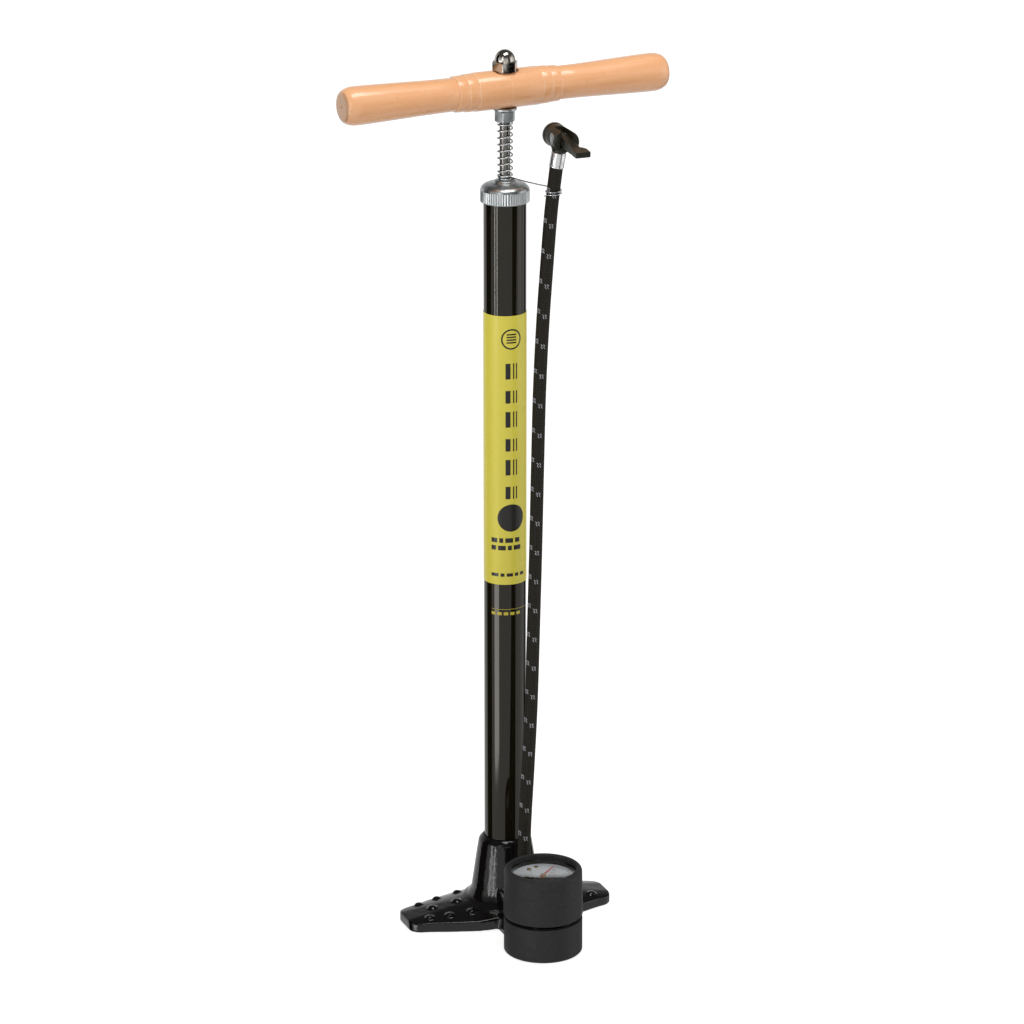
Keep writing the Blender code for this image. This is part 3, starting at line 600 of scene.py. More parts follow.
def fleck_strokes(path):
    """Short slanting yarns that show in pairs of columns along the braid."""
    strokes = []
    rows = int((path[-1].z - path[0].z) / FLECK_PITCH) + 1
    for row in range(rows):
        for angle, drop in FLECK_COLUMNS:
            height = path[0].z + 0.006 + row * FLECK_PITCH + drop
            for rung in FLECK_RUNGS:
                turn = math.degrees(rung / HOSE_R)
                ends = [(height + 0.0017, angle + turn - 8), (height + 0.0008, angle + turn + 6),
                        (height - 0.0004, angle + turn - 3), (height - 0.0016, angle + turn + 8)]
                points = [on_hose(path, z, a) for z, a in ends]
                if all(points):
                    strokes.append(sweep("stroke", points, YARN_R, YARN, 6))
    return strokes


def add_hose():
    path = smooth_route(HOSE_ROUTE, 0.004)
    hose = finished(sweep("hose_braid", path, HOSE_R, BRAID, 40), "pump", "braid", "hose")
    flecks = finished(joined("hose_flecks", fleck_strokes(path)), "pump", "braid")
    return hose, flecks, path


# ---- barrel, label and cap
BORE_R = 0.0148
LABEL_R = high("label_sleeve").x
LABEL_BOTTOM, LABEL_TOP = span("label_sleeve")
PRINT_LIFT = 0.00004
RIDGES = 56
RIDGE_DEPTH = 0.00042


def add_barrel():
    barrel = sleeve("barrel", BORE_R, BARREL_R, *span("barrel_tube"), BARREL_PAINT, 160)
    finished(barrel, "pump", "black_paint", "barrel_tube")
    film = sleeve("label", LABEL_R - 0.0002, LABEL_R, LABEL_BOTTOM, LABEL_TOP, FILM, 160, 0.00008)
    finished(film, "pump", "label", "label_sleeve")


def wrapped(name, outline, radius, finish):
    """A flat outline of (distance round, height) points laid on the barrel, facing out."""
    mesh = bmesh.new()
    mesh.faces.new([mesh.verts.new((s, 0.0, z)) for s, z in outline])
    spans = [s for s, _ in outline]
    cuts = np.arange(min(spans), max(spans), 0.0006)[1:]
    for s in cuts:
        bmesh.ops.bisect_plane(mesh, geom=mesh.verts[:] + mesh.edges[:] + mesh.faces[:],
                               plane_co=(s, 0, 0), plane_no=(1, 0, 0))
    for vertex in mesh.verts:
        angle = math.degrees(vertex.co.x / radius)
        vertex.co = around(angle, radius, vertex.co.z)
    data = bpy.data.meshes.new(name)
    mesh.to_mesh(data)
    mesh.free()
    data.materials.append(finish)
    return shade(linked(name, data))


def bar_outline(left, right, bottom, top):
    return [(left, bottom), (right, bottom), (right, top), (left, top)]


def ring_outlines(centre, height, outer, inner):
    """A ring as two half rings, because an outline has no hole."""
    halves = []
    for start in (-90, 90):
        halves.append(arc((centre, height), outer, start, start + 180, 17)
                      + arc((centre, height), inner, start + 180, start, 17))
    return halves


def label_marks():
    """Plain marks with no lettering: a ring with bars, six groups of bars, a disc and dashes."""
    centre = 0.0050
    marks = ring_outlines(centre, LABEL_TOP - 0.0180, 0.0080, 0.0068)
    for i in range(4):
        foot = LABEL_TOP - 0.0212 + 0.0021 * i
        marks.append(bar_outline(centre - 0.0038, centre + 0.0038, foot, foot + 0.0011))
    for i in range(6):
        foot = LABEL_TOP - 0.0490 - 0.0188 * i
        tall = 0.0098 if i % 2 else 0.0122
        for left, right in ((-0.0046, -0.0008), (0.0012, 0.0022), (0.0036, 0.0046)):
            marks.append(bar_outline(centre + left, centre + right, foot, foot + tall))
    marks.append(arc((centre, LABEL_BOTTOM + 0.0530), 0.0108, 0, 350, 36))
    rows = ((0.0335, 0.0036, (5, 3, 6, 4)), (0.0275, 0.0036, (4, 6, 3, 6)),
            (0.0065, 0.0026, (6, 3, 5, 3, 4)))
    for rise, tall, widths in rows:
        left, foot = centre - 0.0160, LABEL_BOTTOM + rise
        for wide in widths:
            marks.append(bar_outline(left, left + wide * 0.0010, foot, foot + tall))
            left += wide * 0.0010 + 0.0016
    return marks


def barrel_marks():
    """A thin line and a row of dashes on the barrel, below the label."""
    left, foot = -0.0110, LABEL_BOTTOM - 0.0245
    marks = [bar_outline(left, 0.0200, foot + 0.0045, foot + 0.0048)]
    for i in range(5):
        start = left + 0.0050 * i
        marks.append(bar_outline(start, start + 0.0034, foot, foot + 0.0024))
    return marks


def add_print(name, outlines, radius, colour, slot):
    marks = [wrapped("mark", outline, radius + PRINT_LIFT, colour) for outline in outlines]
    finished(joined(name, marks), "pump", slot)


def add_cap():
    cap_r = high("top_cap").x
    bottom, top = span("top_cap")
    band_low, band_high = bottom + 0.0009, top - 0.0074
    inside = BARREL_R + 0.0003
    roof = high("barrel_tube").z + 0.0004
    profile = [(0.0047, top), (0.0066, top), (0.0080, top - 0.0007), (0.0088, top - 0.0023),
               (0.0112, top - 0.0029), (0.0140, top - 0.0032), (0.0162, top - 0.0042),
               (0.0177, top - 0.0056), (cap_r - 0.0001, top - 0.0072),
               (cap_r, band_high + 0.0001), (cap_r, band_high - 0.0003),
               (cap_r, band_low + 0.0003), (cap_r, band_low - 0.0001),
               (0.0174, bottom + 0.0004), (0.0170, bottom), (inside, bottom), (inside, roof),
               (0.0066, roof), (0.0066, top - 0.0018), (0.0047, top - 0.0016)]

    def ridged(r, z, angle):
        in_band = band_low < z < band_high and r > cap_r - 0.0006
        wave = 0.5 - 0.5 * math.cos(angle * RIDGES)
        return r - RIDGE_DEPTH * wave ** 1.6 if in_band else r

    cap = lathe("cap", profile, ZINC, RIDGES * 8, True, 0.0004, ridged)
    finished(cap, "pump", "zinc", "top_cap")


# ---- rod, handle and spring
HANDLE_YAW = math.radians(5)
HANDLE_HALF = 0.1318
HANDLE_END = (0.0105, 0.0050)  # length and depth of the rounding at each end
HANDLE_CORE_R = 0.0144
HANDLE_STEPS = ((0.0260, 0.0144, 0.0140), (0.0339, 0.0140, 0.0135), (0.0419, 0.0134, 0.0124))
SPRING_R = 0.0055
SPRING_WIRE_R = 0.0006
SPRING_TURNS = 7.5


def handle_profile():
    """Half of the handle's side, from its middle out: three fine steps, then a flared grip."""
    side = [(0.0, HANDLE_CORE_R - 0.00025), (0.00035, HANDLE_CORE_R)]
    for x, before, after in HANDLE_STEPS:
        side += [(x - 0.0006, before), (x - 0.0001, before - 0.0001),
                 (x + 0.0001, after - 0.00022), (x + 0.0007, after)]
    grip = [(0.0560, 0.01252), (0.0700, 0.01285), (0.0850, 0.01335), (0.1000, 0.01385),
            (0.1120, 0.01418), (0.1180, 0.01428)]
    length, depth = HANDLE_END
    crown = [(HANDLE_HALF - length + length * x, 0.0143 - depth + depth * y)
             for x, y in arc((0, 0), 1, 84, 8, 12)]
    face = [(HANDLE_HALF, 0.0088), (HANDLE_HALF + 0.0001, 0.0050), (HANDLE_HALF, 0.0013),
            (HANDLE_HALF - 0.0007, 0.0009), (HANDLE_HALF - 0.0009, 0.0)]
    return side + grip + crown + face


def mark_points(obj, name, test):
    """Stores 1 on the points of a mesh for which the test holds, for its material to read."""
    attribute = obj.data.attributes.new(name, "FLOAT", "POINT")
    attribute.data.foreach_set("value", [float(test(v.co)) for v in obj.data.vertices])


def at_groove(point):
    grooves = [0.0] + [x for x, _, _ in HANDLE_STEPS]
    return any(abs(abs(point.z) - x) < 0.00025 for x in grooves)


def at_face(point):
    return abs(point.z) > HANDLE_HALF - 0.0010


def add_handle():
    half = handle_profile()
    profile = [(r, x) for x, r in reversed(half)] + [(r, -x) for x, r in half[1:]]
    direction = (math.cos(HANDLE_YAW), math.sin(HANDLE_YAW), 0)
    body = put(lathe("handle_wood", profile, BEECH, 120, cut=0), HANDLE_AT, along(direction))
    # Marks the groove points that carry the painted highlight.
    mark_points(body, "groove_highlight", at_groove)
    mark_points(body, "dark", at_face)
    flat_top, flat_bottom = low("acorn_nut").z - 0.0003, high("handle_washer").z + 0.0003
    under, over = 0.63, 0.68  # heights clear of the wood
    combine(body, drum("hole", HOLE_R, under, over, BEECH))
    combine(body, drum("top", 0.0102, flat_top, over, BEECH))
    combine(body, drum("bottom", 0.0092, under, flat_bottom, BEECH))
    finished(body, "rod_handle", "beech", "handle")


def add_acorn_nut():
    bottom, shoulder = low("acorn_nut").z, TOP - 0.0084
    across, dome_r = 0.0173, 0.0076
    nut = hex_nut("acorn_base", across, bottom, shoulder, CHROME)
    rise = TOP - dome_r
    dome = [(r, rise + z) for r, z in arc((0, 0), dome_r, 90, 0, 16)]
    dome[0] = (0, TOP)
    dome += [(dome_r, shoulder + 0.0002), (dome_r + 0.0003, shoulder - 0.0002),
             (0, shoulder - 0.0004)]
    nut = joined("acorn", [nut, lathe("dome", dome, CHROME, 96, cut=0)])
    combine(nut, drum("hole", HOLE_R, bottom - 0.001, high("pump_rod").z + 0.0004, CHROME))
    finished(nut, "rod_handle", "chrome", "acorn_nut")


def add_rod():
    rod = drum("rod", ROD_R, *span("pump_rod"), STEEL, 64, 0.0005)
    finished(rod, "rod_handle", "steel", "pump_rod")
    washer_r = high("handle_washer").x
    washer = sleeve("washer", HOLE_R, washer_r, *span("handle_washer"), ZINC, cut=0.0007)
    finished(washer, "rod_handle", "zinc", "handle_washer")
    nut = hex_nut("lock_nut", 0.0140, *span("handle_nut"), ZINC, HOLE_R)
    finished(nut, "rod_handle", "zinc", "handle_nut")


def shorten(spring):
    """Gives that node a mesh of its own."""
    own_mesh(spring)


def add_spring():
    """Open turns between two closed and ground end turns."""
    bottom = low("buffer_spring").z + SPRING_WIRE_R
    top = high("buffer_spring").z - SPRING_WIRE_R
    turns, end_rise = SPRING_TURNS + 2, 0.0015
    open_rise = top - bottom - 2 * end_rise
    path = []
    for i in range(round(turns * 40) + 1):
        t = i / 40
        if t < 1:
            z = bottom + end_rise * t
        elif t > turns - 1:
            z = top - end_rise * (turns - t)
        else:
            z = bottom + end_rise + open_rise * (t - 1) / SPRING_TURNS
        a = 2 * math.pi * t
        path.append((SPRING_R * math.cos(a), SPRING_R * math.sin(a), z))
    spring = sweep("spring", path, SPRING_WIRE_R, SPRING_STEEL, 12, 3)
    finished(spring, "buffer", "steel", "buffer_spring")
    shorten(spring)


# ---- ferrules, fitting and clip
CLIP_WIRE_R = 0.00050
CLIP_HEIGHT = 0.5858
FITTING_FOOT = 0.0194
FITTING_TOP = 0.0487
HEX_BOTTOM = 0.0283  # just clear of the bridge


def add_ferrules():
    """Crimped sleeves at both ends of the hose. Returns the upper one, which goes with it."""
    def crimped(r, z, angle):
        share = min(1.0, max(0.0, 1 - abs(z - 0.0062) / 0.0042))
        return r - 0.00030 * share * (0.5 - 0.5 * math.cos(8 * angle)) if r > 0.005 else r

    profile = [(0.0024, 0.0119), (0.0053, 0.0119), (0.0056, 0.0110), (0.0056, 0.0104),
               (0.0054, 0.0100), (0.0056, 0.0094), (0.0056, 0.0030), (0.0054, 0.0024),
               (0.0056, 0.0018), (0.0056, 0.0006), (0.0053, 0.0001), (0.0024, 0.0001)]
    upper = lathe("ferrule", profile, ALUMINIUM, 96, True, 0.0003, crimped)
    put(upper, Vector(HOSE_ROUTE[-1]) + HOSE_END_AXIS * 0.0003, along(HOSE_END_AXIS))
    finished(upper, "pump", "aluminium", "upper_ferrule")
    profile = [(r, z + 0.0014) for r, z in profile]
    lower = put(lathe("ferrule_low", profile, ZINC, 96, True, 0.0003, crimped),
                (FITTING.x, FITTING.y, low("lower_ferrule").z))
    finished(lower, "pump", "zinc", "lower_ferrule")
    return upper


def add_fitting():
    place, shoulder = (FITTING.x, FITTING.y, 0), HEX_BOTTOM + 0.0049
    nut = hex_nut("fitting_hex", 0.0135, HEX_BOTTOM, HEX_BOTTOM + 0.0052, BRASS)
    shank = [(0, FITTING_TOP), (0.0023, FITTING_TOP), (0.0023, shoulder), (0.0058, shoulder),
             (0.0060, HEX_BOTTOM), (0.0060, FITTING_FOOT), (0, FITTING_FOOT)]
    body = put(joined("fitting", [nut, lathe("shank", shank, BRASS, 64)]), place)
    combine(body, put(drum("bore", 0.0010, 0.0, 0.06, BRASS, 24), place))
    finished(body, "pump", "brass", "hose_fitting")


def add_clip():
    """Thin wire: a loop on the cap round the rod, a run to the hose and a wrap with loose ends."""
    hose = Vector((0.0227, -0.0401, 0.0))
    heading = math.atan2(hose.y, hose.x)
    path = []
    for i in range(37):
        a = heading + math.radians(390 - 8.333 * i)
        path.append(Vector((0.0050 * math.cos(a), 0.0050 * math.sin(a), CLIP_HEIGHT)))
    wrap_r = HOSE_R + CLIP_WIRE_R + 0.0003
    wrap = []
    for i in range(61):
        a = heading + math.radians(90 - 9 * i)
        wrap.append(Vector((hose.x + wrap_r * math.cos(a), hose.y + wrap_r * math.sin(a),
                            CLIP_HEIGHT - 0.0012 - 0.00005 * i)))
    run = [path[-1].lerp(wrap[0], t) - Vector((0, 0, 0.0008 * math.sin(math.pi * t)))
           for t in (0.2, 0.4, 0.6, 0.8)]
    out = wrap[-1] - Vector((hose.x, hose.y, wrap[-1].z))
    tail = [wrap[-1] + out * t + Vector((0.0003, 0, 0.0002)) for t in (0.3, 0.6, 0.9)]
    clip = sweep("clip", path + run + wrap + tail, CLIP_WIRE_R, SPRING_STEEL, 10)
    finished(clip, "pump", "steel", "wire_clip")


# ---- cast base
SOCKET_R = 0.0168
SOCKET_SIDE = ((0.0203, 0.0615), (0.0221, 0.0505), (0.0262, 0.0215), (0.0290, 0.0165),
               (0.0335, 0.0138))
WING_HALF_SPAN = 0.0832
WING_EDGE = ((0.0, 0.0345), (0.0330, 0.0318), (0.0550, 0.0250), (0.0700, 0.0196))
WING_CORNER_R = 0.0105
WING_RIDGE = 0.0190
WING_SLOPE = 0.13
WING_CROWN_R = 0.0750
BUMP_R = 0.0036
BUMP_HEIGHT = 0.0019
BUMPS = ((0.066, 0.0145), (0.050, 0.0180), (0.032, 0.0205), (0.060, 0.001), (0.040, 0.001),
         (0.067, -0.0125), (0.052, -0.0160), (0.035, -0.0185))
BRIDGE_TOP = 0.0280
BASE_VOXEL = 0.0007


def wing_top(x, y):
    return WING_RIDGE - WING_SLOPE * abs(x) - WING_CROWN_R + math.sqrt(WING_CROWN_R ** 2 - y * y)


def wing_plate():
    """The two wings as one crowned plate: rings of points shrink from its edge to its middle."""
    corner = (WING_HALF_SPAN - WING_CORNER_R, WING_EDGE[-1][1] - WING_CORNER_R - 0.0008)
    tip = arc(corner, WING_CORNER_R, 75, 0, 9)
    quarter = [(x, y) for x, y in WING_EDGE] + tip
    right = quarter + [(x, -y) for x, y in reversed(quarter)]
    left = [(-x, y) for x, y in reversed(right)][1:-1]
    outline = (right + left)[::-1]
    count = len(outline)
    points = [(x, y, 0.0) for x, y in outline]
    rings = 14
    for k in range(rings):
        share = 1 - k / rings
        points += [(x * share, y * share, wing_top(x * share, y * share)) for x, y in outline]
    points.append((0, 0, WING_RIDGE))
    faces = [list(range(count))[::-1]]
    for k in range(rings):
        for i in range(count):
            j = (i + 1) % count
            faces.append([k * count + i, k * count + j, (k + 1) * count + j, (k + 1) * count + i])
    last = rings * count
    faces += [[last + i, last + (i + 1) % count, len(points) - 1] for i in range(count)]
    return piece("wings", points, faces, CAST)


def bridge_block():
    """The tapered block that runs forward from the socket to the gauge."""
    front, back = GAUGE.y + 0.020, -0.0195
    outline = [(-0.0182, 0.0), (0.0182, 0.0), (0.0142, BRIDGE_TOP), (-0.0142, BRIDGE_TOP)]
    obj = extruded("bridge", outline, -back, -front, CAST)
    obj.data.transform(Matrix.Rotation(math.radians(90), 4, "X"))
    return obj


def socket_body():
    top = high("base_casting").z
    profile = [(0, top), (SOCKET_R, top)] + list(SOCKET_SIDE) + [(0.0335, 0.0008), (0, 0.0008)]
    return lathe("socket", profile, CAST, 160, cut=0.0012)


def tread_bumps():
    dome = [(BUMP_R * math.sin(a), BUMP_HEIGHT * math.cos(a))
            for a in np.radians(np.linspace(0, 90, 9))]
    dome[0] = (0, BUMP_HEIGHT)
    profile = dome + [(BUMP_R, -0.002), (0, -0.002)]
    return [put(lathe("bump", profile, CAST, 32, cut=0), (side * x, y, wing_top(x, y)))
            for side in (-1, 1) for x, y in BUMPS]


def add_base():
    lug = put(drum("lug", 0.0258, 0.0036, 0.0268, CAST, 128), GAUGE)
    solids = [wing_plate(), bridge_block(), socket_body(), lug] + tread_bumps()
    base = fused("base", solids, BASE_VOXEL, 8)
    for vertex in base.data.vertices:
        vertex.co.z = max(vertex.co.z, 0.0)
    carve_base(base)
    finished(base, "pump", "black_cast", "base_casting")


def carve_base(base):
    """The barrel's pocket, the hollows under the wings and the bores of valve and gauge."""
    cuts = [
        drum("pocket", BARREL_R + 0.0004, 0.0180, 0.08, CAST, 128),
        put(drum("valve", 0.0063, 0.0050, 0.0300, CAST, 64), (FITTING.x, FITTING.y, 0)),
        put(drum("stem", 0.0053, 0.0140, 0.0300, CAST, 64), GAUGE),
        put(drum("foot", 0.0303, -0.0010, 0.0034, CAST, 128), GAUGE),
    ]
    half = [(0.0300, 0.0250), (0.0480, 0.0215), (0.0650, 0.0165), (0.0770, 0.0080)]
    outline = softened([(x, -y) for x, y in half] + [(x, y) for x, y in reversed(half)],
                       0.004, True, 5)
    mirrored = [(-x, y) for x, y in reversed(outline)]
    cuts += [extruded("hollow", side, -0.001, 0.0045, CAST) for side in (outline, mirrored)]
    carve(base, cuts)


# ---- gauge
DIAL_ZERO = 42
DIAL_SWEEP = 270
DIAL_FULL = 160
NUMBER_STEP = 20
INNER_STEP = 14.5  # of the scale, to one unit of the inner scale
INK_DEPTH = 0.00003


def add_gauge_shell():
    foot_r, inner, foot_top = 0.0299, 0.0263, high("gauge_foot").z
    profile = [(0, 0.0028), (inner, 0.0028), (inner, foot_top), (foot_r - 0.0002, foot_top),
               (foot_r, foot_top - 0.0006), (foot_r, 0.0012), (foot_r - 0.0012, 0.0), (0, 0.0)]
    foot = put(lathe("foot_cup", profile, GAUGE_PLASTIC, 160, cut=0.0003), GAUGE)
    notch = block("notch", (-0.0186, GAUGE.y + 0.018, 0.0030), (0.0186, -0.045, 0.03),
                  GAUGE_PLASTIC)
    finished(combine(foot, notch), "pump", "grey_plastic", "gauge_foot")

    bottom, top = span("gauge_housing")
    case_r, mouth, lip = 0.0272, 0.0250, high("gauge_case").z + 0.0003
    profile = [(0.0053, bottom + 0.0031), (case_r, bottom + 0.0031), (case_r, lip), (mouth, lip),
               (mouth, top - 0.0009), (mouth + 0.0007, top - 0.0001), (mouth + 0.0022, top),
               (0.0281, top - 0.0004), (0.0292, top - 0.0014), (0.0296, top - 0.0030),
               (0.0303, bottom + 0.0020), (0.0299, bottom + 0.0007), (0.0289, bottom),
               (0.0053, bottom)]
    shell = put(lathe("gauge_cup", profile, GAUGE_PLASTIC, 160, True, 0.0006), GAUGE)
    finished(shell, "pump", "grey_plastic", "gauge_housing")


def dial_angle(value):
    """Direction of a scale value in degrees: the scale runs clockwise, seen from above."""
    return DIAL_ZERO - DIAL_SWEEP * value / DIAL_FULL


def tick(angle, inner, outer, width, level, finish):
    outline = [(inner, -width / 2), (outer, -width / 2), (outer, width / 2), (inner, width / 2)]
    obj = extruded("tick", outline, level, level + INK_DEPTH, finish)
    obj.data.transform(Matrix.Rotation(math.radians(angle), 4, "Z"))
    return obj


def scale_arc(inner, outer, level, finish):
    angles = (dial_angle(0), dial_angle(DIAL_FULL))
    outline = (arc((0, 0), inner, *angles, 73) + arc((0, 0), outer, *reversed(angles), 73))
    return extruded("arc", outline, level, level + INK_DEPTH, finish)


def numeral(text, radius, angle, size, level, finish):
    """A number on the dial, upright for a reader on the barrel's side."""
    curve = bpy.data.curves.new("numeral", "FONT")
    curve.body = text
    curve.size = size
    curve.align_x = "CENTER"
    curve.align_y = "CENTER"
    source = linked("numeral", curve)
    bpy.context.view_layer.update()
    graph = bpy.context.evaluated_depsgraph_get()
    data = bpy.data.meshes.new_from_object(source.evaluated_get(graph))
    bpy.data.objects.remove(source, do_unlink=True)
    data.materials.clear()
    data.materials.append(finish)
    a = math.radians(angle)
    shift = Matrix.Translation((radius * math.cos(a), radius * math.sin(a), level + INK_DEPTH))
    data.transform(shift @ Matrix.Rotation(math.pi, 4, "Z"))
    return linked("numeral", data)


def add_dial():
    bottom, top = span("gauge_dial")
    plate = put(sleeve("dial", 0.0020, 0.0256, bottom, top, DIAL, cut=0.0001), GAUGE)
    finished(plate, "pump", "dial", "gauge_dial")
    level = top + 0.00002
    black = [scale_arc(0.0214, 0.0216, level, DIAL_BLACK)]
    for value in range(0, DIAL_FULL + 1, 5):
        inner, width = (0.0204, 0.00016) if value % 10 else (0.0196, 0.00028)
        black.append(tick(dial_angle(value), inner, 0.0215, width, level, DIAL_BLACK))
    for value in range(0, DIAL_FULL + 1, NUMBER_STEP):
        black.append(numeral(str(value), 0.0170, dial_angle(value), 0.0031, level, DIAL_BLACK))
    finished(put(joined("dial_scale", black), GAUGE), "pump", "black_paint")
    red = [scale_arc(0.0131, 0.01325, level, RED)]
    for value in range(12):
        angle = dial_angle(value * INNER_STEP)
        red.append(tick(angle, 0.0118, 0.0132, 0.0002, level, RED))
        if value % 2 == 0:
            red.append(numeral(str(value), 0.0100, angle, 0.0022, level, RED))
    finished(put(joined("dial_inner_scale", red), GAUGE), "pump", "red_paint")


def add_needle():
    """A tapered pointer with a spade tail, and its domed hub."""
    bottom = low("gauge_needle").z + 0.0001
    half = [(0.0189, 0.00014), (0.0150, 0.00038), (0.0024, 0.00085), (-0.0030, 0.00105),
            (-0.0055, 0.00165), (-0.0100, 0.00155)]
    outline = [(x, -y) for x, y in reversed(half)] + half
    blade = extruded("blade", outline, bottom, bottom + 0.00035, RED)
    blade.data.transform(Matrix.Rotation(math.radians(DIAL_ZERO), 4, "Z"))
    top = high("gauge_needle").z
    finished(put(blade, GAUGE), "needle", "red_paint", "gauge_needle")
    hub = [(0, top), (0.0006, top - 0.00002), (0.0008, top - 0.0002), (0.0016, top - 0.00030),
           (0.0022, top - 0.0006), (0.0022, bottom - 0.0001), (0, bottom - 0.0001)]
    finished(put(lathe("needle_hub", hub, BRASS, 48, cut=0.0001), GAUGE), "needle", "brass")


def add_gauge_trim():
    bottom, top = span("gauge_lens")
    lens = put(drum("lens", 0.0255, bottom, top - 0.0001, GLASS, 128, 0.0003), GAUGE)
    lens.visible_shadow = False
    finished(lens, "pump", "glass", "gauge_lens")
    ring = sleeve("spacer", 0.0248, 0.0256, *span("gauge_spacer"), CHUCK_PLASTIC, 128, 0.0002)
    finished(put(ring, GAUGE), "pump", "black_plastic", "gauge_spacer")
    for name in ("dial_rivet_left", "dial_rivet_right"):
        head = [(0, 0.0009), (0.0007, 0.00085), (0.0013, 0.0006), (0.0016, 0.0001),
                (0.0016, 0.0), (0, 0.0)]
        rivet = put(lathe(name.replace("dial_", ""), head, BRASS, 32, cut=0),
                    (middle(name).x, middle(name).y, low(name).z))
        finished(rivet, "pump", "brass", name)


# ---- chuck
CHUCK_R = 0.0090
CHUCK_LENGTH = 0.0310
SLOT_HALF = 0.0037
PIN_HOLE_R = 0.0019
CHUCK_VOXEL = 0.00025
LEVER_TILT = math.radians(5)
MOUTH_OUT = 0.0165  # from the head's centre, where the neck meets it, to its mouth
CHUCK_AT = Vector((middle("chuck_collar").x, high("chuck_body").y - MOUTH_OUT,
                   middle("chuck_collar").z))
MOUTH_AT = CHUCK_AT + Vector((0, MOUTH_OUT, 0))
TO_X, TO_Y = along((1, 0, 0)), along((0, 1, 0))


def chuck_point(x, y, z):
    """A point by its place from the head's centre."""
    return CHUCK_AT + Vector((x, y, z))


def side_extruded(name, side_view, left, right, finish):
    """A solid from its outline in side view, as (y, z) points, between two x positions."""
    obj = extruded(name, [(-y, z) for y, z in side_view], left, right, finish)
    obj.data.transform(Matrix(((0, 0, 1, 0), (-1, 0, 0, 0), (0, 1, 0, 0), (0, 0, 0, 1))))
    return obj


def add_chuck_body():
    profile = [(0, 0), (CHUCK_R - 0.0014, 0), (CHUCK_R, -0.0012), (CHUCK_R, -0.0042),
               (CHUCK_R - 0.00035, -0.0046), (CHUCK_R - 0.00035, -CHUCK_LENGTH + 0.0004),
               (CHUCK_R - 0.0009, -CHUCK_LENGTH), (0, -CHUCK_LENGTH)]
    head = put(lathe("head", profile, CHUCK_PLASTIC, 96, cut=0.0004), MOUTH_AT, TO_Y)
    neck = [(0, 0.0), (0.0066, 0.0), (0.0066, -0.0070), (0.0057, -0.0086), (0.0057, -0.0096),
            (0, -0.0096)]
    neck = put(lathe("neck", neck, CHUCK_PLASTIC, 96), CHUCK_AT, along(HOSE_END_AXIS))
    body = fused("chuck", [head, neck], CHUCK_VOXEL, 3)
    half = SLOT_HALF
    cuts = [
        block("slot_top", chuck_point(-half, -0.020, -0.0052), chuck_point(half, 0.0035, 0.012),
              CHUCK_PLASTIC),
        block("slot_front", chuck_point(-half, -0.020, -0.012), chuck_point(half, -0.008, 0.0),
              CHUCK_PLASTIC),
        put(drum("mouth", 0.0063, -0.0137, 0.001, CHUCK_PLASTIC), MOUTH_AT, TO_Y),
        put(drum("pin_hole", PIN_HOLE_R, -0.012, 0.012, CHUCK_PLASTIC), PIN, TO_X),
        put(drum("air", 0.0010, -0.012, 0.0, CHUCK_PLASTIC, 24), CHUCK_AT,
            along(HOSE_END_AXIS)),
    ]
    cheek = [(-0.020, -0.012), (-0.0066, -0.012), (-0.0066, -0.0020), (-0.0100, 0.0040),
             (-0.0100, 0.012), (-0.020, 0.012)]
    cuts.append(put(side_extruded("cheek", cheek, -0.012, 0.0001 - half, CHUCK_PLASTIC),
                    CHUCK_AT))
    for start, end in ((-0.012, -0.0073), (0.0073, 0.012)):
        cuts.append(put(drum("seat", 0.0046, start, end, CHUCK_PLASTIC), PIN, TO_X))
    carve(body, cuts)
    return finished(body, "pump", "black_plastic", "chuck_body")


def add_lever():
    """A cam on the pin, a tapering arm through the slot and a flat paddle ahead of the head."""
    cam = put(drum("cam", 0.0042, -0.0034, 0.0034, CHUCK_PLASTIC), PIN, TO_X)
    side_view = [(-0.0005, -0.0032), (-0.0005, 0.0034), (-0.0080, 0.0032), (-0.0200, 0.0020),
                 (-0.0345, 0.0014), (-0.0335, -0.0030), (-0.0240, -0.0042), (-0.0100, -0.0040)]
    arm = side_extruded("arm", side_view, -0.0032, 0.0032, CHUCK_PLASTIC)
    outline = softened([(-0.0058, -0.0419), (0.0058, -0.0419), (0.0058, -0.0335),
                        (0.0036, -0.0298), (-0.0036, -0.0298), (-0.0058, -0.0335)], 0.0004, True)
    paddle = extruded("paddle", outline, -0.0017, 0.0024, CHUCK_PLASTIC)
    for part in (arm, paddle):
        put(part, PIN, Quaternion((1, 0, 0), LEVER_TILT))
    lever = fused("lever", [cam, arm, paddle], 0.0002, 3)
    carve(lever, [put(drum("hole", PIN_HOLE_R, -0.006, 0.006, CHUCK_PLASTIC), PIN, TO_X)])
    return finished(lever, "lever", "black_plastic", "chuck_lever")


